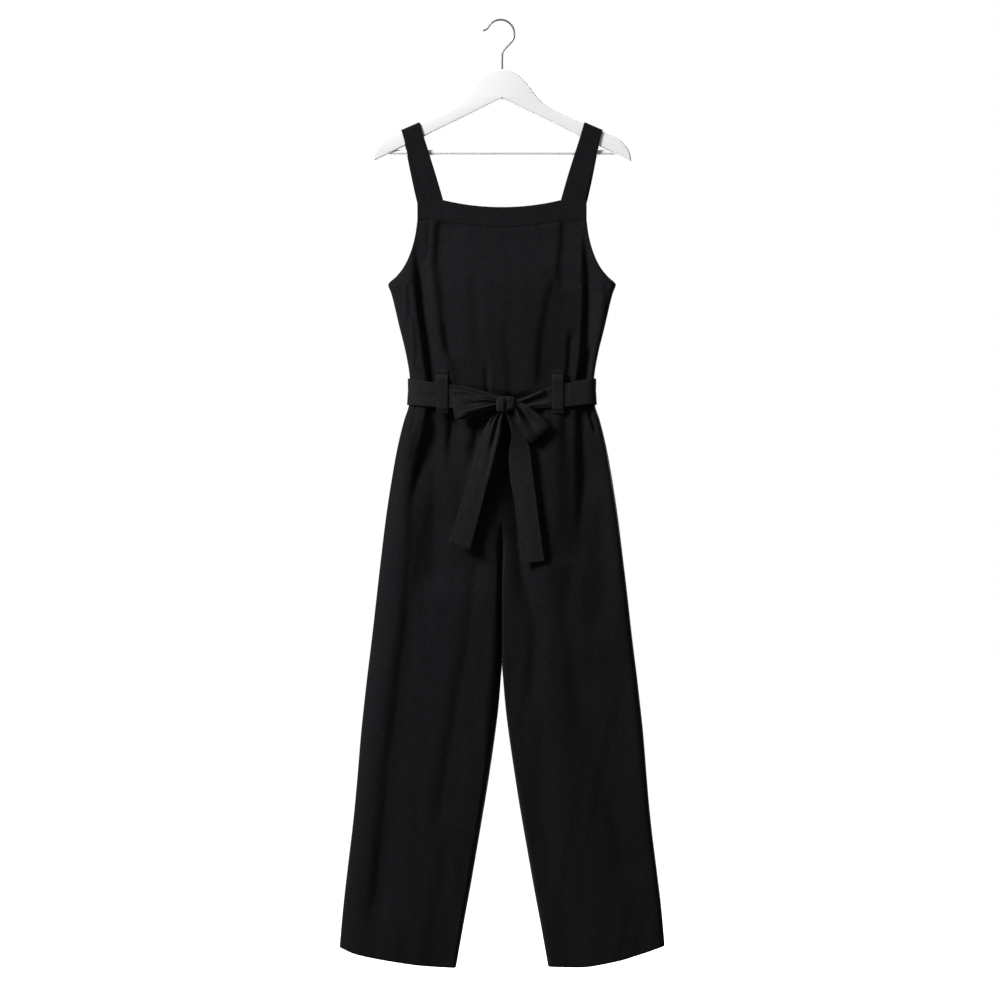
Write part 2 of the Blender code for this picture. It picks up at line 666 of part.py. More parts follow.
def strap(side):
    """A strap from the front band over the hanger's arm to the back band. On the arm its width lies along it."""
    first, last = (float(read(ARM, "drop", x, "x")) for x in STRAIGHT)
    lean = atan((last - first) / (STRAIGHT[1] - STRAIGHT[0]))
    lay = DOUBLE + STRAP_OFF
    over, turn = WOOD_THICK / 2 + lay, WOOD_EDGE + lay
    arm_drop = first + (STRAP_TOP_X - STRAIGHT[0]) / (STRAIGHT[1] - STRAIGHT[0]) * (last - first)
    top = np.array([STRAP_TOP_X, 0.0, -(arm_drop - lay / cos(lean))])
    along_arm = np.array([cos(lean), 0.0, -sin(lean)])
    down = np.array([-sin(lean), 0.0, -cos(lean)])
    level = np.array([1.0, 0.0, 0.0])

    def stretch(face):
        """Rows from a band's upper edge to where the strap starts to turn over the wood."""
        way = 1 if face == "back" else -1
        base_x = STRAP_BASE_X + (STRAP_BACK_OUT if face == "back" else 0.0)
        base = np.array([base_x, way * (BODICE[face][0] - BAND_SET_BACK), -(BAND_TOP + lower(face) - SEAM)])
        end = top + down * turn + np.array([0.0, way * over, 0.0])
        for t in np.linspace(0, 1, 7):
            across = level * (1 - smooth(t)) + along_arm * smooth(t)
            half = (STRAP_BASE_WIDE + (STRAP_TOP_WIDE - STRAP_BASE_WIDE) * smooth(t)) / 2
            yield base + (end - base) * t, across / np.linalg.norm(across), half

    rows = list(stretch("front"))
    for way in (-1, 1):
        angles = radians(30) * np.arange(1, 4)
        for angle in angles if way < 0 else angles[::-1]:
            aside = way * (over - turn + turn * cos(angle))
            spot = top + down * turn * (1 - sin(angle)) + np.array([0.0, aside, 0.0])
            rows.append((spot, along_arm, STRAP_TOP_WIDE / 2))
    rows += list(stretch("back"))[::-1]
    sign = -1 if side == "left" else 1
    grid = [[centre + across * half * t for t in (-1, -0.33, 0.33, 1)] for centre, across, half in rows]
    sheet(f"strap_{side}", np.array(grid) * (sign, 1, 1), DOUBLE, flip=side == "right")


# ------------------------------------------------------------------------------------------ trousers


def leg_panel(face, side):
    """One of the four trouser panels, from the waist seam to the hem."""
    drops = [WAIST + SEAM / 2, 657, 675, 698, 730, 765, 803, CROTCH_START, 862, 878, 890, 899, CROTCH]
    drops += [925, 965, 1010, 1060, 1112, 1165, 1220, 1280, SLANT_FROM, 1400, 1470, 1535, HEM]
    name = f"leg_{face}_{side}"
    grid = panel(
        lambda drop: leg_line(drop, side, face),
        lambda drop: leg_edges(drop, side),
        drops,
        FOLDS[name],
    )
    for row, drop in zip(grid, drops, strict=True):
        lean = smooth((drop - SLANT_FROM) / (HEM - SLANT_FROM))
        inner, outer = sorted(abs(x) for x in leg_edges(drop, side))
        across = np.clip((outer - abs(row[:, 0])) / (outer - inner), 0, 1)
        more = read(HEM_LINE[side], "drop", across, "across") - HEM
        row[:, 2] -= lean * more
        row[:, 0] -= (1 if side == "left" else -1) * lean * HEM_FLARE * np.abs(more) * (1 - across)
    if face == "back":
        grid[:, :, 1] *= -1
    sheet(name, grid, CLOTH, flip=face == "back")


# ------------------------------------------------------------------------------------------ sash


def sash():
    """The sash round the waist, over the seam. It is one closed ring that passes behind the knot."""
    bend = np.linspace(0, SASH_BEND, 9)
    front, back = (
        np.concatenate([bend, np.linspace(SASH_BEND, 1 - SASH_BEND, count)[1:-1], 1 - bend[::-1]]) for count in (15, 8)
    )
    columns = [("front", t) for t in front] + [("back", t) for t in back[-2:0:-1]]
    rows = []
    for share in (0.0, 0.5, 1.0):
        row = []
        for face, t in columns:
            waist = body_line(WAIST, face)
            x = along_line(waist, [t * lengths(waist)[-1]])[0, 0]
            edges = [float(read(SASH, column, x if face == "front" else -161.0, "x")) for column in ("top", "bottom")]
            drop = edges[0] + share * (edges[1] - edges[0])
            line = body_line(drop, face)
            at = np.array([t * lengths(line)[-1]])
            x, y = (along_line(line, at) + outward(line, at) * (SASH_OFF + DOUBLE))[0]
            row.append((x, y if face == "front" else -y, -drop))
        rows.append(row)
    sheet("belt", np.array(rows), DOUBLE, ring=True)


def carrier(side):
    """A belt loop: a narrow strip sewn on above and below the sash, standing over it."""
    left, right = CARRIER_X[side]
    drops = [CARRIER_TOP, CARRIER_TOP + CARRIER_SEWN, 611, 616, 622, 640, 656, 660.5, 665, CARRIER_BOTTOM]
    over_sash = SASH_OFF + DOUBLE + LAID
    grid = []
    for drop in drops:
        in_from_end = min(drop - CARRIER_TOP - CARRIER_SEWN, (CARRIER_BOTTOM - 2 - drop) * 1.7)
        lift = LAID + (over_sash - LAID) * float(smooth(in_from_end / 9.0)) + CARRIER_WALL
        spots = np.linspace(left, right, 4)
        grid.append([(x, -(front_depth(x, drop) + lift), -drop) for x in spots])
    sheet(f"belt_loop_{side}", np.array(grid), CARRIER_WALL)


def knot():
    """The knot: a rounded block with a valley between its two wraps."""
    work = bmesh.new()
    bmesh.ops.create_uvsphere(work, u_segments=18, v_segments=10, radius=1.0)
    for vert in work.verts:
        x, y, z = (abs(c) ** KNOT_POWER * (1 if c > 0 else -1) for c in vert.co)
        x = KNOT_X + x * KNOT_WIDE / 2
        valley = 1 - KNOT_GROOVE * np.exp(-(((x - KNOT_GROOVE_X) / KNOT_GROOVE_WIDE) ** 2))
        y = y * valley if y < 0 else y
        vert.co = Vector((x, KNOT_Y + y * KNOT_DEEP / 2, -KNOT_DROP + z * KNOT_TALL / 2 * (1 + valley) / 2)) * MM
    mesh = bpy.data.meshes.new("bow_knot")
    work.to_mesh(mesh)
    work.free()
    mesh.shade_smooth()
    place(bpy.data.objects.new("bow_knot", mesh), BLACK_CLOTH)


def bow(side):
    """One bow of the tie: a strip that runs out from the knot, turns, and comes back behind itself."""
    data = BOWS[side]
    out = [(share, -1.0) for share in (0.0, 0.15, 0.35, 0.55, 0.75, BOW_TURN)]
    turn = [(BOW_TURN + (1 - BOW_TURN) * sin(a), -cos(a)) for a in np.linspace(0, pi, 7)[1:-1]]
    rows = []
    for share, front in out + turn + [(share, 1.0) for share, _ in out[::-1]]:
        up, low = (
            np.array([float(read(data, f"{axis}_{edge}", share, "share")) for axis in ("x", "drop")])
            for edge in ("up", "low")
        )
        spots = [up + (low - up) * v for v in np.linspace(0, 1, 5)]
        rear = max([BOW_REAR[side]] + [front_depth(*spot) + BOW_OVER[side] for spot in spots])
        deep, stand = (float(read(BOW_BULK, column, share, "share")) for column in ("deep", "stand"))
        y = -(rear + stand + deep / 2) + front * deep / 2
        rows.append([(x, y, -drop) for x, drop in spots])
    sheet(f"bow_loop_{side}", np.array(rows), DOUBLE, flip=side == "right")


def tail(side):
    """A tail of the tie, lying on the trousers."""
    data = TAILS[side]
    rows = []
    for share in (0.0, 0.035, 0.07, 0.12, 0.18, 0.25, 0.32, 0.45, 0.6, 0.8, 1.0):
        values = {column: float(read(data, column, share, "share")) for column in data}
        row = []
        for v in np.linspace(0, 1, 6):
            x = values["x_left"] + (values["x_right"] - values["x_left"]) * v
            drop = values["drop_left"] + (values["drop_right"] - values["drop_left"]) * v
            deep = front_depth(x, drop) + values["stand"] + DOUBLE + values["gather"] * sin(pi * v) ** 2
            row.append((x, -deep, -drop))
        rows.append(row)
    sheet(f"belt_tail_{side}", np.array(rows), DOUBLE)


# ------------------------------------------------------------------------------------------ assembly

clear_scene()
PARTS = collection("belted_jumpsuit_on_hanger")
CUTTERS = collection("cutters", hidden=True)
BLACK_CLOTH = finish("black_cloth", (0.011, 0.011, 0.012), 0.9)
PAINTED_WOOD = finish("white_painted_wood", (0.86, 0.86, 0.87), 0.45)
STEEL = finish("polished_steel", (0.55, 0.55, 0.56), 0.22, 1.0)

hanger_wood()
hanger_bar()
hanger_hook()
for face in ("front", "back"):
    neck_band(face, bodice_panel(face))
    for side in ("left", "right"):
        leg_panel(face, side)
sash()
knot()
for side in ("left", "right"):
    strap(side)
    carrier(side)
    bow(side)
    tail(side)
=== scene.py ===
# %% [markdown]
# # A belted jumpsuit on a wooden coat hanger
#
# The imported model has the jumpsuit's true sizes, with each cut piece as a plain thin wall. This lesson dresses it:
# every piece of cloth is cut again on a finer grid, with its folds, creases, seams and stitches, and the hanger gets
# its paint and chrome. Lengths in the tables are millimetres. A drop is a distance below the inside of the hook's
# crown, where the rail bears, and left and right are as seen from the front.

import json
from math import atan, cos, pi, radians, sin

import bmesh
import bpy
import numpy as np
from mathutils import Matrix, Vector

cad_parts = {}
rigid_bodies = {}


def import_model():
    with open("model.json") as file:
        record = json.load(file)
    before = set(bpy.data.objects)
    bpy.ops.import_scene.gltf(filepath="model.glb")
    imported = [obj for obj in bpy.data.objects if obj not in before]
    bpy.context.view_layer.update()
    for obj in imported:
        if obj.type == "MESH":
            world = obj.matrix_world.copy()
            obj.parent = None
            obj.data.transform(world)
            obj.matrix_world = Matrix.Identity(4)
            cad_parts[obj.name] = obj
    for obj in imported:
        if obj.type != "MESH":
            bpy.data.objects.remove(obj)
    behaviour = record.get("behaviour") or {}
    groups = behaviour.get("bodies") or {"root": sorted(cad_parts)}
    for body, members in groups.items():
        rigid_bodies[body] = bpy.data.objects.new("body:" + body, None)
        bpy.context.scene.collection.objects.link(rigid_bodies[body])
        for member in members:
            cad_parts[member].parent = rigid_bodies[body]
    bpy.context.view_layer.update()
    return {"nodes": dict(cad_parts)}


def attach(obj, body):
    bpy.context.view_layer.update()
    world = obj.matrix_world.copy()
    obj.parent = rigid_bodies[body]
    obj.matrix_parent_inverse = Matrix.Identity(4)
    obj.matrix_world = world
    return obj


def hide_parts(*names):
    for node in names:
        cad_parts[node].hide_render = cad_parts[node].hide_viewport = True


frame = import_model()
MM = 0.001


def shown(name, data):
    """A new object, placed in the scene."""
    made = bpy.data.objects.new(name, data)
    bpy.context.scene.collection.objects.link(made)
    return made


def node(tree, kind, **settings):
    """A new node, its properties or numbered inputs set by name."""
    made = tree.nodes.new(kind)
    for key, value in settings.items():
        if key in made.inputs:
            made.inputs[key].default_value = value
        else:
            setattr(made, key, value)
    return made


def join(tree, *links):
    """Links nodes, each link given as a node, its output, the next node and its input."""
    for giver, output, taker, entry in links:
        tree.links.new(giver.outputs[output], taker.inputs[entry])


print("The packed model has", len(frame["nodes"]), "pieces.")

# %% [markdown]
# ## Camera, light and floor
#
# The garment is seen straight on through a long lens, so both straps and both hems keep their true proportions. A
# lamp stands high on the left and rakes across the cloth, so that each fold has a lit side and a dark side, and the
# white surround fills the rest. A second lamp lights the back. The floor is pale and lies below the hems. It gives
# no light back, because the garment hangs well clear of it.

# %% Camera
SEEN = 1.70  # metres across the picture, at the garment's face
LENS = 300.0
SENSOR = 36.0
FACE_Y = -0.02
MIDDLE_X, MIDDLE_Z = -0.0034, -0.8158

camera_data = bpy.data.cameras.new("camera")
camera_data.lens = LENS
camera_data.sensor_width = SENSOR
camera = shown("camera", camera_data)
camera.location = (MIDDLE_X, FACE_Y - SEEN * LENS / SENSOR, MIDDLE_Z)
camera.rotation_euler = (pi / 2, 0, 0)
bpy.context.scene.camera = camera
bpy.context.scene.view_settings.view_transform = "Standard"
print("The camera stands", round(-camera.location.y, 2), "m in front.")

# %% Surround, lamp and floor
SURROUND = 0.22  # brightness of the light that the white surround gives
LAMPS = {  # place, aim, width in metres, spread in degrees, power in watts
    "key": (Vector((-4.4, -2.9, 2.7)), Vector((0.0, 0.0, -0.2)), 2.2, 75.0, 115.0),
    "back_light": (Vector((1.3, 3.6, 0.9)), Vector((0.0, 0.0, -0.75)), 1.2, 180.0, 170.0),
}
FLOOR_Z = -1.74

world = bpy.data.worlds.new("studio")
world.use_nodes = True
bpy.context.scene.world = world
tree = world.node_tree
tree.nodes.clear()
lit = node(tree, "ShaderNodeBackground", Color=(1, 1, 1, 1), Strength=SURROUND)
seen = node(tree, "ShaderNodeBackground", Color=(1, 1, 1, 1))
path = node(tree, "ShaderNodeLightPath")
mix = node(tree, "ShaderNodeMixShader")
out = node(tree, "ShaderNodeOutputWorld")
join(tree, (path, "Is Camera Ray", mix, "Fac"), (lit, 0, mix, 1), (seen, 0, mix, 2), (mix, 0, out, "Surface"))

for name, (stand, aim, width, beam, power) in LAMPS.items():
    lamp_data = bpy.data.lights.new(name, "AREA")
    lamp_data.shape = "DISK"
    lamp_data.size = width
    lamp_data.spread = radians(beam)
    lamp_data.energy = power
    lamp = shown(name, lamp_data)
    lamp.location = stand
    lamp.rotation_euler = (aim - stand).to_track_quat("-Z", "Y").to_euler()

bpy.ops.mesh.primitive_plane_add(size=30, location=(0, 0, FLOOR_Z))
floor = bpy.context.object
floor.name = "floor"
floor.visible_diffuse = floor.visible_glossy = False
paper = bpy.data.materials.new("pale_floor")
paper.use_nodes = True
PALE = {"Base Color": (0.9, 0.9, 0.9, 1), "Roughness": 0.9, "Emission Color": (1, 1, 1, 1), "Emission Strength": 0.85}
for key, value in PALE.items():
    paper.node_tree.nodes["Principled BSDF"].inputs[key].default_value = value
floor.data.materials.append(paper)

# %% [markdown]
# ## The cloth
#
# The jumpsuit is cut from one black crepe with an uneven yarn. Up close the threads cross over and under. From
# further off, the thicker stretches of yarn show as short dull streaks along and across the cloth. Both are drawn
# from the UV map, which holds each piece's own flat coordinates in metres, so the weave turns with the cloth. The
# trousers' cloth is painted a touch darker than the bodice's, as painted shade where the lamp's light falls off lower
# down, and the doubled sash a touch lighter, as painted light where it faces the lamp more; all are one cloth.


# %% Finishes
def principled(name, roughness, metallic=0.0, specular=0.5):
    made = bpy.data.materials.new(name)
    made.use_nodes = True
    base = made.node_tree.nodes["Principled BSDF"]
    base.inputs["Roughness"].default_value = roughness
    base.inputs["Metallic"].default_value = metallic
    base.inputs["Specular IOR Level"].default_value = specular
    return made, base


def tones(tree, dark, light):
    """A ramp from one colour to another."""
    made = node(tree, "ShaderNodeValToRGB")
    for end, colour in zip(made.color_ramp.elements, (dark, light), strict=True):
        end.color = (*colour, 1)
    return made


THREAD_PITCH = 0.0009  # metres from one thread to the next
SLUB_LONG, SLUB_THIN = 0.014, 0.0016  # length and width of the thicker stretches of yarn
WEAVE_SHARE = 0.5  # the crossing threads' share of the relief, against the slubs' whole one


def crepe(name, dark, light):
    """Black woven cloth: crossing threads as relief, and slubs as streaks of a duller and a deeper black."""
    made, base = principled(name, 0.86, specular=0.10)
    base.inputs["Sheen Weight"].default_value = 0.035
    base.inputs["Sheen Roughness"].default_value = 0.45
    tree = made.node_tree
    flat = node(tree, "ShaderNodeUVMap", uv_map="cloth")
    weave = node(tree, "ShaderNodeMath", operation="MULTIPLY")
    streaks = node(tree, "ShaderNodeMath", operation="ADD")
    wave = {"Scale": 2 * pi / (20 * THREAD_PITCH), "Distortion": 0.6}
    for i, (along, turn) in enumerate((("X", (SLUB_LONG, SLUB_THIN)), ("Y", (SLUB_THIN, SLUB_LONG)))):
        thread = node(tree, "ShaderNodeTexWave", bands_direction=along, **wave)
        stretch = node(tree, "ShaderNodeMapping", Scale=(1 / turn[0], 1 / turn[1], 1.0))
        slub = node(tree, "ShaderNodeTexNoise", Scale=1.0, Detail=3.0, Roughness=0.6)
        join(tree, (flat, "UV", thread, "Vector"), (flat, "UV", stretch, "Vector"))
        join(tree, (stretch, "Vector", slub, "Vector"), (thread, "Fac", weave, i), (slub, "Fac", streaks, i))
    tone = node(tree, "ShaderNodeMapRange", **{"From Min": 0.72, "From Max": 1.28, "To Min": 0.0, "To Max": 1.0})
    ramp = tones(tree, dark, light)
    join(tree, (streaks, 0, tone, "Value"), (tone, "Result", ramp, "Fac"), (ramp, "Color", base, "Base Color"))
    relief = node(tree, "ShaderNodeMath", operation="MULTIPLY_ADD")
    relief.inputs[1].default_value = WEAVE_SHARE
    bump = node(tree, "ShaderNodeBump", Strength=0.5, Distance=0.00025)
    join(tree, (weave, 0, relief, 0), (streaks, 0, relief, 2), (relief, 0, bump, "Height"))
    join(tree, (bump, "Normal", base, "Normal"))
    return made


BLACK_CREPE = crepe("black_crepe", (0.0027, 0.0026, 0.0034), (0.0078, 0.0075, 0.0092))
# The trousers' crepe is painted darker than the bodice's: painted shade for the lamp's light falling off lower down, on
# the same cloth.
TROUSER_CREPE_PAINTED_SHADE = crepe("black_crepe_trousers_painted_shade", (0.0024, 0.0023, 0.0031), (0.0071, 0.0068, 0.0084))
# The crepe of the doubled sash, its loops, knot, bows and tails is painted lighter than the bodice's: painted light
# where they face the lamp more, on the same cloth.
SASH_CREPE_PAINTED_LIGHT = crepe("black_crepe_doubled_painted_light", (0.0046, 0.0046, 0.0048), (0.0124, 0.0122, 0.0126))
BLACK_THREAD, thread_base = principled("black_sewing_thread", 0.5, specular=0.35)
thread_base.inputs["Base Color"].default_value = (0.012, 0.012, 0.013, 1)
print("Finishes for the cloth:", *(m.name for m in (BLACK_CREPE, TROUSER_CREPE_PAINTED_SHADE, SASH_CREPE_PAINTED_LIGHT, BLACK_THREAD)))

# %% [markdown]
# ## Curves to cut by
#
# A pattern cutter keeps a few measures at named heights and draws a fair curve through them. `table` keeps such
# measures under named columns, and `read` draws the curve: it is smooth and never overshoots its rows.


# %% Tables and curves
def table(columns, *rows):
    """A table with named columns, as one array for each column."""
    names = columns.split()
    return {name: np.array([row[i] for row in rows], float) for i, name in enumerate(names)}


def smooth(t):
    t = np.clip(t, 0.0, 1.0)
    return t * t * (3 - 2 * t)


def read(data, column, at, key="drop"):
    """A column's value at one place or several."""
    x, y = data[key], data[column]
    step = np.diff(x)
    rate = np.diff(y) / step
    same_way = rate[:-1] * rate[1:] > 0
    total = np.where(same_way, rate[:-1] + rate[1:], 1.0)
    slope = np.concatenate([rate[:1], np.where(same_way, 2 * rate[:-1] * rate[1:] / total, 0.0), rate[-1:]])
    at = np.clip(np.asarray(at, float), x[0], x[-1])
    i = np.clip(np.searchsorted(x, at, side="right") - 1, 0, len(step) - 1)
    t = (at - x[i]) / step[i]
    ends = (1 + 2 * t) * (1 - t) ** 2 * y[i] + t * t * (3 - 2 * t) * y[i + 1]
    return ends + step[i] * (t * (1 - t) ** 2 * slope[i] + t * t * (t - 1) * slope[i + 1])


def measures(data, at, *columns, key="drop"):
    """Some columns' values at one place, as plain numbers."""
    return [float(read(data, column, at, key)) for column in columns]


def dent(off, width):
    """How deep a groove is at a distance from its middle, as a share of its depth."""
    return np.exp(-((off / width) ** 2))


def lengths(line):
    """Distance along a line at each of its points."""
    return np.concatenate([[0.0], np.cumsum(np.linalg.norm(np.diff(line, axis=0), axis=1))])


def along_line(line, at):
    """The points at some distances along a line."""
    along = lengths(line)
    return np.stack([np.interp(at, along, line[:, i]) for i in range(line.shape[1])], axis=1)


def outward(line, at, step=1.0):
    """Unit normals of a front cross-section, away from the body, at some distances along it."""
    whole = lengths(line)[-1]
    tangent = along_line(line, np.clip(at + step, 0, whole)) - along_line(line, np.clip(at - step, 0, whole))
    normal = np.stack([tangent[:, 1], -tangent[:, 0]], axis=1)
    return normal / np.linalg.norm(normal, axis=1)[:, None]


# %% [markdown]
# ## A wall of cloth
#
# Cloth is thin, but it isn't a bare surface: its turned edges are round, and light catches on them. A wall is made
# from a grid of its outer points. The inner points lie one thickness behind, and both faces bend to meet each other
# at the edges, so a seam between two pieces shows as a fine groove without any being cut.

# %% Walls with rounded edges
EDGE = 0.9  # how far a turned edge's rounding reaches into the cloth
EDGE_STEPS = np.array([0.0, 0.12, 0.42, 0.9])


def spread(whole, step):
    """Distances from 0 to the whole, evenly spaced but for a few close together at each end."""
    inner = np.linspace(EDGE, whole - EDGE, max(2, int(round(whole / step))) + 1)[1:-1]
    return np.concatenate([EDGE_STEPS, inner, whole - EDGE_STEPS[::-1]])


def spread_same(whole, count):
    """As spread, but with a set number of even steps."""
    inner = np.linspace(EDGE, whole - EDGE, count + 1)[1:-1]
    return np.concatenate([EDGE_STEPS, inner, whole - EDGE_STEPS[::-1]])


def travelled(grid, axis):
    """Distance run along the grid's rows or columns, at each point."""
    steps = np.linalg.norm(np.diff(grid, axis=axis), axis=2)
    first = np.zeros_like(np.take(steps, [0], axis=axis))
    return np.concatenate([first, np.cumsum(steps, axis=axis)], axis=axis)


def normals_of(grid, ring=False):
    if ring:
        grid = np.concatenate([grid[:, -1:], grid, grid[:, :1]], axis=1)
    normal = np.cross(np.gradient(grid, axis=0), np.gradient(grid, axis=1))
    normal /= np.linalg.norm(normal, axis=2, keepdims=True)
    return normal[:, 1:-1] if ring else normal


def facing(grid, way, ring=False, spot=(0.5, 0.5)):
    """The grid's normals, turned so that the one at a spot looks the given way."""
    normal = normals_of(grid, ring)
    r, c = (int(share * (n - 1)) for share, n in zip(spot, grid.shape[:2], strict=True))
    return normal if np.dot(normal[r, c], way) > 0 else -normal


CUT = {}  # each piece's outer points and outward normals, for the stitches, and its flat size and area


def wall(name, grid, thick, material, way, ring=False, spot=(0.5, 0.5), end_reach=EDGE, joined=None):
    """A closed wall of cloth behind a grid of outer points, with a UV map in metres.

    Its ends are rounded over end_reach, and the side whose column is joined isn't rounded, to close a seam."""
    rows, columns = grid.shape[:2]
    normal = facing(grid, way, ring, spot)
    across, down = travelled(grid, 1), travelled(grid, 0)
    edge = np.minimum(down, down[-1:] - down) * EDGE / end_reach
    if not ring:
        sides = [across, across[:, -1:] - across]
        if joined is not None:
            sides[joined] = sides[joined] + EDGE
        edge = np.minimum(edge, np.minimum(*sides))
    near = np.clip(1 - edge / EDGE, 0, 1)
    tuck = (thick / 2 * (1 - np.sqrt(1 - near**2)))[..., None]
    outer, inner = grid - normal * tuck, grid - normal * (thick - tuck)
    border = np.zeros((rows, columns), bool)
    border[[0, -1]] = True
    if not ring:
        border[:, [0, -1]] = True
    front = np.arange(rows * columns).reshape(rows, columns)
    back = front.copy()
    back[~border] = rows * columns + np.arange((~border).sum())
    points = np.concatenate([outer.reshape(-1, 3), inner[~border]])
    r, c = (a.ravel() for a in np.meshgrid(np.arange(rows - 1), np.arange(columns if ring else columns - 1)))
    corners = [(r, c), (r + 1, c), (r + 1, c + 1), (r, c + 1)]
    if np.dot(normals_of(grid, ring)[rows // 2, columns // 2], normal[rows // 2, columns // 2]) < 0:
        corners = corners[::-1]
    outside = np.stack([front[i, j % columns] for i, j in corners], axis=1)
    inside = np.stack([back[i, j % columns] for i, j in corners[::-1]], axis=1)
    if ring:
        closing = np.linalg.norm(grid[:, :1] - grid[:, -1:], axis=2)
        across = np.concatenate([across, across[:, -1:] + closing], axis=1)
        down = np.concatenate([down, down[:, :1]], axis=1)
    flat = np.stack([across - across[:, -1:] / 2, -down], axis=2) * MM
    uvs = [np.stack([flat[i, j] for i, j in way_round], axis=1) for way_round in (corners, corners[::-1])]
    mesh = bpy.data.meshes.new(name)
    mesh.from_pydata((points * MM).tolist(), [], np.concatenate([outside, inside]).tolist())
    layer = mesh.uv_layers.new(name="cloth")
    layer.data.foreach_set("uv", np.concatenate(uvs).astype(np.float32).ravel())
    mesh.shade_smooth()
    mesh.materials.append(material)
    made = shown(name, mesh)
    sides = np.diff(grid, axis=0)[:, :-1], np.diff(grid, axis=1)[:-1]
    area = np.linalg.norm(np.cross(*sides), axis=2).sum() * MM * MM
    CUT[name] = {"grid": grid, "normal": normal, "flat": (across[:, -1].max() * MM, down[-1].max() * MM), "area": area}
    return made


def dress(piece, node_name):
    """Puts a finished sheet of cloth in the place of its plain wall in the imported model."""
    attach(piece, "root")
    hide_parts(node_name)


# %% [markdown]
# ## The body's measures
#
# These are nearly the measures that the plain walls were cut by, so each dressed panel lies where its solid lies.
# They differ a little at the underarms, the centre seams and the fronts' right sides. A cross-section of the front
# or the back is nearly flat in the middle and turns round at the sides.

# %% Measures
SEAM = 0.3  # between two sewn walls of the plain model
CLOTH, DOUBLE = 1.5, 2.0  # walls of single and doubled cloth
LAID = 0.5  # between two pieces that lie on each other
WAIST, UNDERARM = 630.0, 449.5
CROTCH_START, CROTCH = 842.0, 906.0
HEM = 1594.0
CROWN = 4.0  # the middle of a face stands this much further forward than its flat ends
CORNER_POWER = 0.82
CORNER_POINTS, FLAT_POINTS = 60, 122  # points of a section round a side, and across its flat
BODICE = table(
    "drop half front back side",
    (339.5, 144, 13.5, 13, 36),
    (362, 147, 15.5, 14.5, 38),
    (381, 151.3, 18, 16.5, 40),
    (401, 158.1, 21, 19, 44),
    (421, 168.3, 24.5, 21.5, 48),
    (436, 180.5, 27, 23, 50.6),
    (449.5, 193.8, 28.5, 24, 59.8),
    (463, 189, 29.5, 25, 56),
    (523, 174.3, 31.5, 27, 50),
    (564, 164.2, 30.5, 28, 46),
    (605, 157.4, 28.7, 28, 44),
    (630, 156, 28, 28, 44),
)
ARMHOLE = table("drop back", (339.5, 0), (381, 0.03), (410, 0.12), (430, 0.32), (443, 0.66), (449.5, 1))
TROUSERS = table(
    "drop outer inner front back side inside",
    (630, 156, 0, 28, 28, 44, 10),
    (654, 158.5, 0, 28.6, 29, 45, 10),
    (680, 166.6, 0, 30.5, 31.5, 47, 10),
    (721, 176.8, 0, 34.5, 36.5, 50, 10),
    (762, 184.6, 0, 37.5, 40, 52, 11),
    (843, 197.2, -0.2, 40, 43, 54, 12),
    (906, 205, -0.2, 39.5, 42, 54, 15),
    (965, 211.8, 0, 38, 40, 54, 20),
    (1047, 221, 0, 36.5, 38, 54, 26),
    (1096, 227, 0.1, 35.7, 36.8, 53.2, 30),
    (1116, 229.5, 1.6, 35.4, 36.4, 53, 31.2),
    (1169, 235.4, 6, 34.5, 35.5, 52, 35),
    (1210, 239.7, 11, 33.5, 34.5, 52, 38),
    (1292, 246.6, 23, 32, 33, 50, 42),
    (1373, 254.2, 36.5, 30, 31, 48, 44),
    (1455, 262.6, 51.9, 28.5, 29, 46, 44),
    (1537, 270.2, 68, 27, 28, 44, 42),
    (1620, 277, 83, 26, 27, 42, 40),
)
HEM_LINE = {
    "left": table("across drop", (0, 1577), (0.14, 1588.5), (0.4, 1599), (0.75, 1608.5), (1, 1611.5)),
    "right": table("across drop", (0, 1574), (0.22, 1589.5), (0.4, 1600), (0.75, 1610.5), (1, 1609.5)),
}
# The share of their full rounding that the legs' inner edges have. They hang folded more sharply further down.
INSIDE_TURN = table(
    "drop left right",
    (906, 0.8, 0.4),
    (965, 0.75, 0.05),
    (1122, 0.9, 0.05),
    (1200, 0.6, 0.08),
    (1326, 0.26, 0.15),
    (1594, 0.16, 0.18),
)
INSIDE_BACK, INSIDE_BACK_REACH, INSIDE_BACK_GROWS = 5.0, 32.0, 60.0  # the right one lies further back for a while
INSIDE_BACK_ENDS = (880.0, 90.0)
SQUARE, SQUARE_SHARE = 0.42, 0.5  # the fronts' right sides are squarer, and rounded over this share of the width
SLANT_FROM = 1330.0  # below this the rows lean towards the hems' own lines
HEM_FLARE = 0.1  # and their outer ends move outwards by this share of it


# %% Cross-sections
def corner(width, depth, back, power=CORNER_POWER):
    """A quarter round from the flat out to the edge, as distances outwards and depths."""
    end = np.arcsin((1.0 - min(1.0, max(0.0, back))) ** (1 / power))
    angle = np.linspace(pi / 2, end, CORNER_POINTS)
    out = width * np.clip(np.cos(angle), 0, 1) ** power
    return out, depth * np.clip(np.sin(angle), 0, 1) ** power


def section(x_left, x_right, depth, round_left, round_right, back_left, back_right, rise, square=False):
    """A face's cross-section seen from above, from its left edge to its right one, with y towards the back."""
    out_l, up_l = corner(round_left, depth, back_left)
    width, power = (round_right * SQUARE_SHARE, SQUARE) if square else (round_right, CORNER_POWER)
    out_r, up_r = corner(width, depth, back_right, power)
    flat_l, flat_r = x_left + out_l[-1], x_right - out_r[-1]
    flat = np.linspace(flat_l, flat_r, FLAT_POINTS)[1:-1]
    x = np.concatenate([flat_l - out_l[::-1], flat, flat_r + out_r])
    deep = np.concatenate([up_l[::-1], np.full(len(flat), depth), up_r])
    return np.stack([x, -(deep + rise(x))], axis=1)


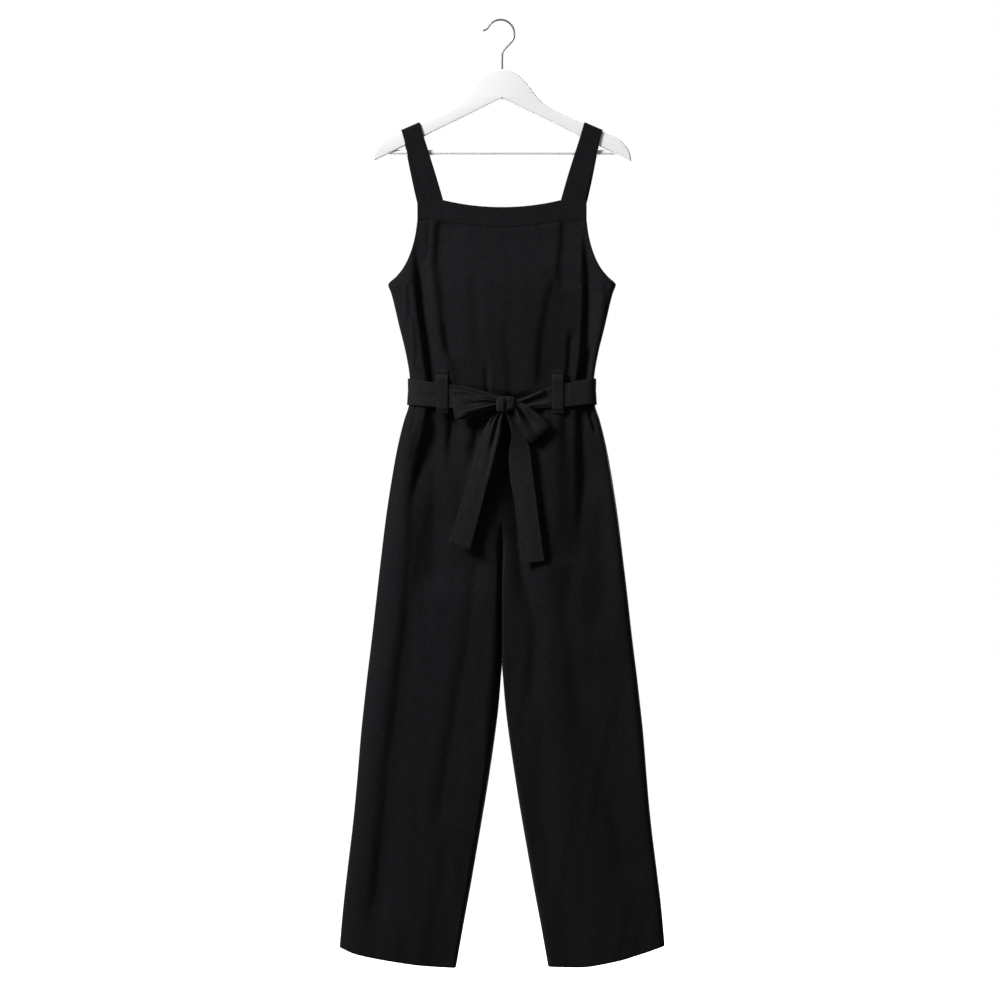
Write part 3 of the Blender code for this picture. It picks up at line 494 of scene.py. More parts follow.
def whole_rise(x, half):
    """The swell of a face across the whole body."""
    return CROWN * (1 - np.clip(x / half, -1, 1) ** 2) ** 2


def bodice_half(drop):
    return float(read(BODICE, "half", drop))


def bodice_line(drop, face):
    half, depth, side = measures(BODICE, drop, "half", face, "side")
    back = float(read(ARMHOLE, "back", drop)) if drop < UNDERARM else 1.0
    return section(-half, half, depth, side, side, back, back, lambda x: whole_rise(x, half), face == "front")


def leg_edges(drop, side):
    outer, inner = measures(TROUSERS, drop, "outer", "inner")
    return (-outer, -inner) if side == "left" else (inner, outer)


def leg_line(drop, side, face):
    left, right = leg_edges(drop, side)
    outer = max(abs(left), abs(right))
    depth, round_out, round_in = measures(TROUSERS, drop, face, "side", "inside")
    round_in *= float(read(INSIDE_TURN, side, drop))
    turned = min(1.0, max(0.0, (drop - CROTCH_START) / (CROTCH - CROTCH_START)))
    under = 1 - cos(pi / 2 * turned)
    own = float(smooth((drop - WAIST) / (CROTCH_START - WAIST)))

    def rise(x):
        t = np.clip((x - left) / (right - left) * 2 - 1, -1, 1)
        return (1 - own) * whole_rise(x, outer) + own * CROWN * (1 - t * t) ** 2

    if side == "left":
        return section(left, right, depth, round_out, round_in, 1.0, under, rise)
    line = section(left, right, depth, round_in, round_out, under, 1.0, rise, face == "front")
    if face == "front":
        back = INSIDE_BACK * float(smooth((drop - CROTCH_START) / INSIDE_BACK_GROWS))
        back *= 1 - float(smooth((drop - INSIDE_BACK_ENDS[0]) / INSIDE_BACK_ENDS[1]))
        line[:, 1] *= 1 - back / depth * smooth(1 - (line[:, 0] - left) / INSIDE_BACK_REACH)
    return line


def body_line(drop, face):
    """The whole body's cross-section without its folds."""
    if drop < WAIST:
        return bodice_line(drop, face)
    return np.concatenate([leg_line(drop, side, face) for side in ("left", "right")])


def front_depth(x, drop):
    """How far forward the body stands at a place, its folds bridged over."""
    line = body_line(drop, "front")
    return float(np.interp(x, line[:, 0], -line[:, 1]))


print("Waist", 2 * bodice_half(WAIST), "mm across the front.")

# %% [markdown]
# ## Folds
#
# The sash draws the wide body in, and the cloth answers with long soft folds that start deep beside the belt loops
# and die away up the bodice and down the legs. A fold here follows a line through four points. Across that line the
# cloth dips in, with a slight swell on each side. The two sides of a fold have widths of their own, `before` its line
# and `after` it, because no real fold is even. A fold fades past its ends, or within them if its fade is negative, and
# a negative depth makes a ridge. Below the knot, the cloth falls back between the tails of the sash.

# %% Lines of the folds
FOLD_COLUMNS = "x0 drop0 x1 drop1 x2 drop2 x3 drop3 depth before after fade"
FOLDS = {
    "bodice_front": table(
        FOLD_COLUMNS,
        (-146.5, 372, -139.5, 469, -130, 540, -113.5, 700, 11.5, 5.4, 16, -80),
        (-124, 350, -125, 372, -126, 385, -127, 400, 1.6, 4.5, 4.5, 22),
        (-104, 341, -109, 411, -103, 469, -91, 556, 4.8, 7, 24, 24),
        (-96, 530, -84, 578, -79, 598, -72, 640, 2.2, 7, 18, 24),
        (-50, 460, -46, 500, -37, 550, -28, 600, 1.4, 9, 14, 40),
        (-26, 596, -25, 606, -24, 618, -23, 640, 3, 4.5, 4.5, 26),
        (6, 535, 11, 570, 13, 610, 13, 640, 1.6, 8, 12, 30),
        (105.5, 340, 103.7, 382, 99.5, 411, 97.8, 442, 3, 5, 20, 22),
        (92, 445, 79, 490, 70, 535, 66, 600, 4, 9, 44, 30),
        (115.5, 545, 114, 580, 112.5, 600, 110, 640, 3.4, 4, 9, 24),
        (141, 345, 143.5, 455, 140.5, 545, 117, 690, 8.5, 4, 21, -80),
        (144, 400, 144, 455, 139, 545, 130, 690, 6, 54, 24, -100),
        (147, 566, 145, 586, 143.5, 602, 141, 640, 5, 3, 4, 14),
        (176, 455, 178.3, 469, 178.3, 496, 176, 512, 2, 4, 5, 16),
        (-164.5, 452, -164, 470, -164, 498, -166, 510, -3.2, 2.2, 4, 12),
        (-154, 517, -152, 535, -151.5, 560, -152.5, 582, -3.6, 2.2, 4, 16),
    ),
    "bodice_back": table(
        FOLD_COLUMNS,
        (-143, 430, -139, 490, -132, 560, -122, 645, 10, 6, 10, 60),
        (-104, 500, -101, 550, -98, 590, -96, 640, 3.2, 6, 6, 50),
        (-78, 470, -76, 530, -74, 575, -72, 640, 4.6, 10.8, 7.2, 46),
        (-36, 560, -35, 580, -34, 605, -33, 640, 2.6, 5.5, 5.5, 40),
        (-4, 540, -5, 570, -6, 600, -7, 640, 1.8, 7, 7, 50),
        (30, 480, 27, 540, 24, 580, 22, 640, 3.8, 7.2, 10.8, 46),
        (62, 560, 60, 585, 59, 605, 58, 640, 2.8, 5.5, 5.5, 36),
        (96, 470, 92, 530, 89, 580, 86, 640, 3.6, 6.4, 9.6, 50),
        (139, 430, 137, 490, 130, 560, 120, 645, 10, 10, 6, 60),
    ),
    "leg_front_left": table(
        FOLD_COLUMNS,
        (-119, 560, -122, 680, -141, 757, -154, 840, 10, 6, 27, -105),
        (-149, 750, -153, 900, -174, 1122, -214, 1480, 4.8, 11, 56, 80),
        (-134, 750, -138, 900, -158, 1122, -198, 1480, 4.2, 26, 60, 90),
        (-116, 715, -114, 780, -114, 850, -114, 930, 8.5, 22, 90, 60),
        (-146, 650, -147, 665, -149, 678, -152, 690, 2, 4, 4, 18),
        (-84, 560, -85, 690, -88, 722, -88, 778, 6.6, 7, 24, -80),
        (-42, 600, -42, 700, -46, 735, -52, 775, 7, 9, 7, -46),
        (-58, 740, -60, 765, -64, 800, -70, 840, 5, 30, 14, 45),
        (-42, 930, -53, 1037, -84, 1224, -100, 1326, 5.6, 14, 40, 60),
        (-197, 1400, -203, 1450, -208, 1520, -214, 1620, 1.2, 14, 20, 60),
        (-96, 1420, -104, 1480, -112, 1540, -122, 1620, 1.2, 13, 20, 90),
    ),
    "leg_front_right": table(
        FOLD_COLUMNS,
        (52, 700, 60, 745, 66, 840, 76, 908, 6.5, 8, 40, 24),
        (58, 652, 64, 663, 71, 675, 81, 688, 6, 5, 8, 12),
        (112, 560, 108, 690, 107, 740, 107, 800, 3.6, 7, 20, -110),
        (131, 560, 135.5, 700, 136.5, 760, 134, 880, 9, 7, 36, -105),
        (133, 670, 136, 720, 136, 800, 136, 960, 8, 26, 90, -110),
        (147, 645, 150, 672, 154, 684, 157, 696, 5, 3, 4, 10),
        (164, 860, 167, 909, 169, 952, 166, 1010, 4.2, 30, 24, 50),
        (30, 890, 37, 952, 56, 1037, 52, 1122, 4.4, 12, 26, 60),
        (142, 1130, 157, 1224, 184, 1326, 212, 1428, 5.5, 29, 50, 70),
        (80, 1400, 90, 1450, 106, 1530, 118, 1600, 2, 12, 20, 60),
        (112, 952, 112, 1000, 114, 1040, 118, 1122, 1.6, 14, 16, 60),
    ),
    "leg_back_left": table(
        FOLD_COLUMNS,
        (-122, 620, -133, 700, -146, 790, -160, 930, 10, 6.4, 10.6, 90),
        (-86, 640, -87, 672, -88, 700, -90, 740, 4, 6, 6, 50),
        (-54, 640, -53, 668, -52, 690, -52, 720, 3.2, 6, 6, 44),
        (-24, 640, -23, 660, -22, 680, -22, 700, 2.6, 5, 5, 36),
        (-60, 800, -44, 850, -30, 890, -20, 920, 3.6, 7.2, 10.8, 50),
        (-92, 1040, -100, 1140, -108, 1240, -124, 1430, 4.4, 10.4, 15.6, 120),
        (-160, 1200, -170, 1300, -178, 1400, -190, 1560, 3, 14.4, 9.6, 110),
    ),
    "leg_back_right": table(
        FOLD_COLUMNS,
        (26, 640, 25, 662, 24, 684, 24, 706, 2.6, 5, 5, 36),
        (58, 640, 58, 672, 58, 700, 60, 730, 3.6, 6, 6, 46),
        (92, 640, 94, 672, 96, 700, 100, 750, 4.2, 6, 6, 50),
        (120, 620, 132, 710, 148, 810, 164, 950, 10, 10.6, 6.4, 90),
        (62, 790, 46, 845, 32, 885, 20, 915, 3.6, 10.8, 7.2, 50),
        (86, 1020, 96, 1130, 106, 1240, 122, 1400, 4.4, 10.4, 15.6, 120),
        (168, 1180, 176, 1290, 184, 1390, 196, 1550, 3, 9.6, 14.4, 110),
    ),
}
# Where the fronts of the trousers fall back between the sash's tails, and how deep. They fall back more and more
# towards the right, and return within `back` under the right tail.
HOLLOW = table(
    "drop left right depth back",
    (656, -6, 20, 0, 6),
    (684, -9, 22, 16, 6),
    (719, -14, 26, 22, 6),
    (743, -21, 27, 23, 6),
    (784, -33, 27, 22, 6),
    (806, -41, 27, 21, 7),
    (833, -48, 28, 19, 8),
    (867, -50, 29, 15, 10),
    (890, -34, 30, 12, 14),
    (910, -16, 31, 9.5, 18),
    (935, -4, 33, 6, 24),
    (970, 4, 36, 3, 30),
    (1010, 10, 38, 0, 36),
)
HOLLOW_POWER, HOLLOW_PAST = 1.5, 0.8
# The trousers' fronts hang flatter than their form to both sides of the tails, but not at their side seams.
LEG_SINK = table("drop back", (650, 0), (700, 3.4), (765, 7.5), (860, 7.5), (1100, 2.6), (1300, 0))
SINK_MIDDLE, SINK_FROM, SINK_GROWS = 27.0, 45.0, 62.0
SINK_SIDE, SINK_SIDE_FROM = 12.0, 0.5
MOST_BACK = 0.75  # share of its depth by which a front may fall back at most
# Width across, length down, and height of the cloth's own slight unevenness, broadest first.
WAVES = table("across down height", (88, 420, 0.95), (37, 170, 0.36), (15, 75, 0.08))
SEAM_CALM = 9.0  # folds die away this near a side seam
BAND_CALM = 6.0  # or this near a neckline band
FINE, LONG = 2.5, 4.2  # steps of the cloth's grids across the folds and along them
FOLD_POWER = 1.8  # 2 makes a fold's cross-section a bell, and less makes its bottom sharper
FOLD_LIP, LIP_PLACE = 0.12, 1.9  # the swells beside a fold: their share of its depth, and how many widths out
LIP_WIDEST = 8.0  # a side of a fold wider than this swells less
SIDEWAYS = 0.3  # folds move the panels' sides in and out by this share only
WANDER, WANDER_WIDEST, WANDER_WAVES = 0.08, 10.0, (23.0, 51.0)  # a fold's line strays by this share of its width
SASH_CALM = (29.0, 22.0)  # swells are pressed flat within the first of the waist, and free past both together
SASH_MIDDLE = 634.0


# %% From lines to relief
def unevenness(across, down, seed):
    """A soft, uneven relief, longer down the cloth than across it."""
    dice = np.random.default_rng(seed)
    total = np.zeros_like(across)
    for wide, tall, height in zip(*WAVES.values(), strict=True):
        for _ in range(5):
            turn_x = 2 * pi / wide * dice.uniform(0.6, 1.4)
            turn_z = 2 * pi / tall * dice.uniform(-1.2, 1.2)
            patch = 0.55 + 0.45 * np.cos(across / wide * dice.uniform(0.6, 1.4) + down / tall * dice.uniform(2, 4))
            total += height * 0.5 * patch * np.cos(turn_x * across + turn_z * down + dice.uniform(0, 2 * pi))
    return total


def fold_relief(folds, drops, along, across, x_line, along_line_at, edges_at, seed):
    """How far the folds move the cloth outwards, at each row's drop and each point's distance along it."""
    dice = np.random.default_rng(seed)
    total = np.zeros_like(along)
    for k in range(len(folds["depth"])):
        path = {column: np.array([folds[f"{column}{i}"][k] for i in range(4)]) for column in ("drop", "x")}
        depth, before, after, fade = (folds[column][k] for column in ("depth", "before", "after", "fade"))
        wander = dice.uniform(0, 2 * pi, 2)
        for r, drop in enumerate(drops):
            within = min(max(drop, path["drop"][0]), path["drop"][-1])
            first = 1 if fade > 0 else 0
            ends = (drop - path["drop"][0]) / abs(fade) + first, (path["drop"][-1] - drop) / abs(fade) + first
            grow = smooth(ends[0]) * smooth(ends[1])
            if grow <= 0:
                continue
            (l0, r0), (l1, r1) = edges_at(within), edges_at(drop)
            x = l1 + (float(read(path, "x", within)) - l0) / (r0 - l0) * (r1 - l1)
            stray = (sin(drop / wave + start) for wave, start in zip(WANDER_WAVES, wander, strict=True))
            x += WANDER * min(before, WANDER_WIDEST) * sum(stray)
            off = along[r] - np.interp(x, x_line[r], along_line_at[r])
            off = np.where(off < 0, off / before, off / after)
            lips = FOLD_LIP * np.where(off < 0, min(1.0, LIP_WIDEST / before), min(1.0, LIP_WIDEST / after))
            lips = lips * np.exp(-((np.abs(off) - LIP_PLACE) ** 2))
            total[r] += grow * depth * (lips - np.exp(-np.abs(off) ** FOLD_POWER))
    return total + unevenness(across, np.array(drops)[:, None] + 0 * across, seed)


def hollow(x, drop):
    """How far the cloth falls back between the tails of the sash, at places across one height."""
    if not HOLLOW["drop"][0] < drop < HOLLOW["drop"][-1]:
        return 0.0 * x
    left, right, depth, back = measures(HOLLOW, drop, "left", "right", "depth", "back")
    fall = np.clip((x - left) / (right - left), 0.0, 1.0) ** HOLLOW_POWER
    return depth * fall * smooth((right - x) / back + HOLLOW_PAST)


def panel(name, line_at, edges_at, drops, seed, calm):
    """A panel's grid of outer points, with its folds, from its cross-sections. Its folds grow over calm at its top."""
    lines = [line_at(drop) for drop in drops]
    wholes = np.array([lengths(line)[-1] for line in lines])
    count = int(round(wholes.mean() / FINE))
    along = np.array([spread_same(whole, count) for whole in wholes])
    x_line, at_line = [line[:, 0] for line in lines], [lengths(line) for line in lines]
    across = np.array([np.interp(at, s, x) for at, s, x in zip(along, at_line, x_line, strict=True)])
    push = fold_relief(FOLDS[name], drops, along, across, x_line, at_line, edges_at, seed)
    drop = np.array(drops)[:, None]
    pressed = smooth((np.abs(drop - SASH_MIDDLE) - SASH_CALM[0]) / SASH_CALM[1])
    push = np.where(push > 0, push * pressed, push)
    push *= smooth(along / SEAM_CALM) * smooth((wholes[:, None] - along) / SEAM_CALM)
    push *= smooth((drop - drops[0]) / calm)
    grid = []
    for line, at, out, z in zip(lines, along, push, drops, strict=True):
        move = outward(line, at) * out[:, None] * (SIDEWAYS, 1.0)
        grid.append(np.column_stack([along_line(line, at) + move, np.full(len(at), -z)]))
    grid = np.array(grid)
    if name.startswith("leg_front"):
        for row, z in zip(grid, drops, strict=True):
            beside = smooth((np.abs(row[:, 0] - SINK_MIDDLE) - SINK_FROM) / SINK_GROWS)
            sunk = float(read(LEG_SINK, "back", z)) * beside * smooth(-row[:, 1] / SINK_SIDE - SINK_SIDE_FROM)
            row[:, 1] += np.minimum(hollow(row[:, 0], z) + sunk, -MOST_BACK * row[:, 1])
    grid[:, :, 1] = np.minimum(grid[:, :, 1], 0.0)
    return grid


print("Fold lines drawn:", sum(len(folds["depth"]) for folds in FOLDS.values()))

# %% [markdown]
# ## The bodice
#
# Two panels, front and back, joined at the sides below the armholes. The armholes' edges are turned once and sewn.
# Each panel ends above in the seam with its neckline band, which dips a little between the straps, and below in the
# waist seam, under the sash.

# %% Bodice panels
BAND_HALF, BAND_TOP, BAND_HEIGHT, BAND_SET_BACK = 144.0, 305.5, 34.5, 2.0
NECK_SAG, NECK_HALF, NECK_REACH = 12.0, 100.0, 90.0  # the neckline's dip, and how far down the panel follows it
BACK_LOWER = 4.0
BAND_PROUD = 0.6  # the doubled band stands this much further out than the panel sewn under it
SEWN_OVER = 0.2  # the rounded edges of two pieces pass each other by this much, so no light comes through their seam
WAIST_DIP, WAIST_DIP_HALF, WAIST_DIP_REACH = 18.0, 100.0, 62.0  # the waist seam dips under the knot
TUCK = table(
    "x drop depth",
    (-80, 612, 0),
    (-35, 622, 5),
    (0, 630, 7),
    (22, 634, 8),
    (48, 628, 6),
    (80, 616, 0),
)
TUCK_TALL, TUCK_HALF, TUCK_FULL = 9.0, 75.0, 1.25  # just over the knot the cloth falls back behind the sash


def neck_dip(x):
    return NECK_SAG * np.clip(1 - (x / NECK_HALF) ** 2, 0, 1)


def lower(face):
    return BACK_LOWER if face == "back" else 0.0


def dip_waist(grid, face):
    """Bends the waist seam down in the middle of the front, so that the sash covers it there too."""
    if face == "front":
        near = smooth(1 - np.abs(-grid[:, :, 2] - WAIST) / WAIST_DIP_REACH)
        grid[:, :, 2] -= near * WAIST_DIP * smooth(1 - np.abs(grid[:, :, 0]) / WAIST_DIP_HALF)


def front_way(face):
    return (0, 1, 0) if face == "back" else (0, -1, 0)


def bodice_panel(face, seed):
    top, bottom = BAND_TOP + BAND_HEIGHT - SEAM / 2 - SEWN_OVER, WAIST
    upper = top + spread(UNDERARM - top, LONG)[:-3]
    lowest = UNDERARM + spread(bottom - UNDERARM, LONG)[3:]
    drops = np.concatenate([upper, [UNDERARM], lowest])
    name = f"bodice_{face}"
    grid = panel(
        name,
        lambda drop: bodice_line(drop, face),
        lambda drop: (-bodice_half(drop), bodice_half(drop)),
        drops,
        seed,
        BAND_CALM,
    )
    grid[:, :, 1] += BAND_PROUD * smooth(1 - (-grid[:, :, 2] - top) / BAND_CALM)
    near = smooth(1 - (-grid[:, :, 2] - top) / NECK_REACH)
    grid[:, :, 2] -= near * (neck_dip(grid[:, :, 0]) + lower(face))
    dip_waist(grid, face)
    if face == "front":
        x, drop = grid[:, :, 0], -grid[:, :, 2]
        middle, deep = read(TUCK, "drop", x, "x"), read(TUCK, "depth", x, "x")
        deep *= smooth(TUCK_FULL - np.abs(x) / TUCK_HALF)
        grid[:, :, 1] += deep * smooth((drop - middle) / TUCK_TALL)
    if face == "back":
        grid[:, :, 1] *= -1
    return wall(f"{name}_cloth", grid, CLOTH, BLACK_CREPE, front_way(face))


for face, seed in (("front", 11), ("back", 12)):
    panel_made = bodice_panel(face, seed)
    dress(panel_made, f"bodice_{face}")

# %% [markdown]
# ## Neckline bands
#
# A doubled strip, sewn to the panel's upper edge along its whole width. It is stiffer than the panel, so it stays
# nearly smooth, and the panel's folds start just below its seam.


# %% Bands
BAND_SOFT, BAND_END_CALM = 0.35, 30.0  # share of the common unevenness, and over what length it dies away at the ends


def neck_band(face, seed):
    x = CUT[f"bodice_{face}_cloth"]["grid"][0][:, 0]
    height = BAND_HEIGHT - SEAM / 2
    rows = []
    for down in spread(height, FINE):
        share = down / height
        depth = BODICE[face][0] - BAND_SET_BACK * (1 - share) + whole_rise(x, BAND_HALF)
        rows.append(np.column_stack([x, -depth, -(BAND_TOP + down + neck_dip(x) + lower(face))]))
    grid = np.array(rows)
    calm = smooth((BAND_HALF - np.abs(grid[:, :, 0])) / BAND_END_CALM)
    grid[:, :, 1] -= BAND_SOFT * unevenness(grid[:, :, 0], -grid[:, :, 2] * 2.5, seed) * calm
    if face == "back":
        grid[:, :, 1] *= -1
    return wall(f"neck_band_{face}_cloth", grid, DOUBLE, BLACK_CREPE, front_way(face))


for face, seed in (("front", 21), ("back", 22)):
    band = neck_band(face, seed)
    dress(band, f"neck_band_{face}")

# %% [markdown]
# ## Straps
#
# Each strap is one doubled strip. It rises from the front band, turns over the hanger's sloping arm, and falls to
# the back band. On the arm it lies along the slope, and towards the bands it turns level.

# %% Strap grids
WOOD_THICK, WOOD_EDGE = 13.0, 2.5
ARM_RUN = table("x drop", (115.5, 164.3), (197, 199.9))
STRAP_BASE_X, STRAP_BASE_WIDE = 121.0, 42.0
STRAP_TOP_X, STRAP_TOP_WIDE = 156.4, 34.0
STRAP_BACK_OUT = 2.5
STRAP_OFF = 0.6  # over the wood
STRAP_ROWS, STRAP_ACROSS = 36, 11
STRAP_SOFT, STRAP_SOFT_FROM, STRAP_SOFT_TO = 0.45, (215.0, 30.0), (302.0, 25.0)  # uneven between the arm and the band


def strap(side, seed):
    rise, run = ARM_RUN["drop"][1] - ARM_RUN["drop"][0], ARM_RUN["x"][1] - ARM_RUN["x"][0]
    lean = atan(rise / run)
    lay = DOUBLE + STRAP_OFF
    over, turn = WOOD_THICK / 2 + lay, WOOD_EDGE + lay
    arm_drop = ARM_RUN["drop"][0] + (STRAP_TOP_X - ARM_RUN["x"][0]) / run * rise
    top = np.array([STRAP_TOP_X, 0.0, -(arm_drop - lay / cos(lean))])
    along_arm = np.array([cos(lean), 0.0, -sin(lean)])
    down = np.array([-sin(lean), 0.0, -cos(lean)])
    level = np.array([1.0, 0.0, 0.0])

    def stretch(face):
        way = 1 if face == "back" else -1
        base_x = STRAP_BASE_X + (STRAP_BACK_OUT if face == "back" else 0.0)
        base = np.array([base_x, way * (BODICE[face][0] - BAND_SET_BACK), -(BAND_TOP + lower(face) + SEWN_OVER)])
        end = top + down * turn + np.array([0.0, way * over, 0.0])
        reach = np.linalg.norm(end - base)
        for t in np.concatenate([EDGE_STEPS, np.linspace(EDGE, reach, STRAP_ROWS)[1:]]) / reach:
            across = level * (1 - smooth(t)) + along_arm * smooth(t)
            half = (STRAP_BASE_WIDE + (STRAP_TOP_WIDE - STRAP_BASE_WIDE) * smooth(t)) / 2
            yield base + (end - base) * t, across / np.linalg.norm(across), half

    rows = list(stretch("front"))
    for angle in np.radians(np.arange(10, 171, 10)):
        aside = -(over - turn) * (1 if angle < pi / 2 else -1) if abs(angle - pi / 2) > 0.01 else 0.0
        spot = top + down * turn * (1 - sin(angle)) + np.array([0.0, aside - turn * cos(angle), 0.0])
        rows.append((spot, along_arm, STRAP_TOP_WIDE / 2))
    rows += list(stretch("back"))[::-1]
    sign = -1 if side == "left" else 1
    grid = np.array([[c + a * (s - half) for s in spread_same(2 * half, STRAP_ACROSS)] for c, a, half in rows])
    grid *= (sign, 1, 1)
    normal = facing(grid, (0, -1, 0), spot=(0, 0.5))
    clear = smooth((-grid[:, :, 2] - STRAP_SOFT_FROM[0]) / STRAP_SOFT_FROM[1])
    clear *= smooth((STRAP_SOFT_TO[0] + grid[:, :, 2]) / STRAP_SOFT_TO[1])
    soft = unevenness(travelled(grid, 1) * 2.2, travelled(grid, 0), seed)
    grid += normal * (STRAP_SOFT * clear * soft)[..., None]
    return wall(f"strap_{side}_cloth", grid, DOUBLE, BLACK_CREPE, (0, -1, 0), spot=(0, 0.5), end_reach=0.25)


for side, seed in (("left", 31), ("right", 32)):
    dress(strap(side, seed), f"strap_{side}")

# %% [markdown]
# ## Trousers
#
# Four panels, two to a leg. Down to the crotch the two fronts meet in the centre seam, as the two backs do, and from
# there each leg is a tube of its own. Towards the hems the rows lean, because the legs hang open a little.


# %% Trouser panels
def leg_panel(face, side, seed):
    drops = WAIST - SEAM / 2 + spread(HEM - WAIST + SEAM / 2, LONG)
    name = f"leg_{face}_{side}"
    line_at, edges_at = (lambda drop: leg_line(drop, side, face)), (lambda drop: leg_edges(drop, side))
    grid = panel(name, line_at, edges_at, drops, seed, SEAM)
    for row, drop in zip(grid, drops, strict=True):
        lean = smooth((drop - SLANT_FROM) / (HEM - SLANT_FROM))
        inner, outer = sorted(abs(x) for x in leg_edges(drop, side))
        across = np.clip((outer - abs(row[:, 0])) / (outer - inner), 0, 1)
        more = read(HEM_LINE[side], "drop", across, "across") - HEM
        row[:, 2] -= lean * more
        row[:, 0] -= (1 if side == "left" else -1) * lean * HEM_FLARE * np.abs(more) * (1 - across)
    dip_waist(grid, face)
    if face == "back":
        grid[:, :, 1] *= -1
    return wall(f"{name}_cloth", grid, CLOTH, TROUSER_CREPE_PAINTED_SHADE, front_way(face), joined=-1 if side == "left" else 0)


for face, side, seed in (("front", "left", 41), ("front", "right", 42), ("back", "left", 43), ("back", "right", 44)):
    leg = leg_panel(face, side, seed)
    dress(leg, f"leg_{face}_{side}")

# %% [markdown]
# ## The sash
#
# One doubled strip round the waist, over the seam. Its edges roll slightly, so it stands proud in the middle. On its
# way into the knot it is squeezed: on the left into fine pleats, and on the right it twists, which leaves a lit fold
# along its top, a dark hollow and a lit facet below.

# %% The sash's ring
SASH = table(
    "x top bottom",
    (-161, 608.5, 654),
    (-111, 616.5, 658),
    (-65, 623, 661),
    (-29, 631, 664),
    (-10, 638, 666),
    (10, 641.5, 666),
    (22, 645.5, 665),
    (34, 642.5, 663),
    (48, 637, 661),
    (66, 629.5, 660),
    (85, 622, 659),
    (111, 616.5, 657),
    (135, 612, 654),
    (161, 608.5, 652),
)
SASH_OFF, SASH_BULGE = 1.2, 0.9  # off the waist, and how proud its middle stands
SASH_TALL, SASH_STEP, SASH_LEAST = 44.0, 1.6, 0.4
UNDER_LOOP, UNDER_REACH, UNDER_FULL = 98.0, 12.0, 1.4  # round this x a belt loop presses the sash flat
SASH_COLUMNS = {"front": 190, "back": 110}
# Creases in the sash: they run between two places, given by x and by share of the sash's height.
SASH_CREASES = table(
    "x0 share0 x1 share1 depth width",
    (-88, 0.12, -16, 0.26, 2.2, 0.05),
    (-64, 0.30, -16, 0.44, 2.4, 0.05),
    (-86, 0.60, -16, 0.64, 2, 0.07),
    (-88, 0.24, -30, 0.34, -1.2, 0.05),
    (-140, 0.52, -116, 0.60, 1.8, 0.11),
    (34, 0.46, 88, 0.44, 4.6, 0.15),
    (26, 0.86, 60, 0.92, 1, 0.06),
    (22, 0.22, 70, 0.10, -5, 0.10),
    (24, 0.72, 80, 0.80, -2, 0.12),
    (110, 0.15, 113, 0.60, 1.3, 0.30),
)


def sash_relief(x, share):
    """The sash's creases on its front, at a place across the body and down the sash."""
    total = 0.0
    for x0, share0, x1, share1, depth, width in zip(*SASH_CREASES.values(), strict=True):
        t = (x - x0) / (x1 - x0)
        ends = smooth(t / 0.18 + 0.6) * smooth((1 - t) / 0.18 + 0.6)
        total -= depth * ends * dent(share - share0 - (share1 - share0) * np.clip(t, 0, 1), width)
    return total


def sash():
    columns = [("front", t) for t in np.linspace(0, 1, SASH_COLUMNS["front"])]
    columns += [("back", t) for t in np.linspace(1, 0, SASH_COLUMNS["back"])[1:-1]]
    downs = spread(SASH_TALL, SASH_STEP)
    rows = [[] for _ in downs]
    for face, t in columns:
        waist = body_line(WAIST, face)
        x = along_line(waist, [t * lengths(waist)[-1]])[0, 0]
        top, bottom = measures(SASH, x if face == "front" else SASH["x"][0], "top", "bottom", key="x")
        for row, down in zip(rows, downs, strict=True):
            share = down / SASH_TALL
            drop = top + share * (bottom - top)
            line = body_line(drop, face)
            at = np.array([t * lengths(line)[-1]])
            lift = SASH_OFF + DOUBLE + SASH_BULGE * sin(pi * share) ** 0.7
            if face == "front":
                lift += sash_relief(x, share)
            under = float(smooth(UNDER_FULL - abs(abs(x) - UNDER_LOOP) / UNDER_REACH)) if face == "front" else 0.0
            lift = lift * (1 - under) + (SASH_OFF + DOUBLE) * under
            lift = max(lift, DOUBLE + SASH_LEAST)
            px, py = (along_line(line, at) + outward(line, at) * lift)[0]
            row.append((px, py if face == "front" else -py, -drop))
    grid = np.array(rows)
    return wall("belt_cloth", grid, DOUBLE, SASH_CREPE_PAINTED_LIGHT, (0, -1, 0), ring=True, spot=(0.5, 0.27))


belt = sash()

# %% [markdown]
# ## Belt loops
#
# Two narrow strips on the front, sewn down above and below the sash. Their ends are turned under, which makes them
# thicker there, and a bar of stitches crosses each end.

# %% Loops
CARRIER_X = {"left": (-111.4, -91.9), "right": (85.0, 104.5)}
CARRIER_TOP, CARRIER_BOTTOM, CARRIER_SEWN, CARRIER_WALL = 595.0, 668.5, 7.0, 1.6
CARRIER_BAR, BAR_DEEP, BAR_WIDE = 6.0, 1.2, 0.9  # where the turned-under ends are pressed in by their last stitches
CARRIER_RISE, CARRIER_BOW = 9.0, 0.35  # a loop climbs onto the sash over this length, and bows this much across
CARRIER_END, CARRIER_STEEPER = 2.0, 1.7  # its lower end starts this much higher, and climbs this much faster
CARRIER_STEPS = (0.8, 1.8)  # of its grid, down and across


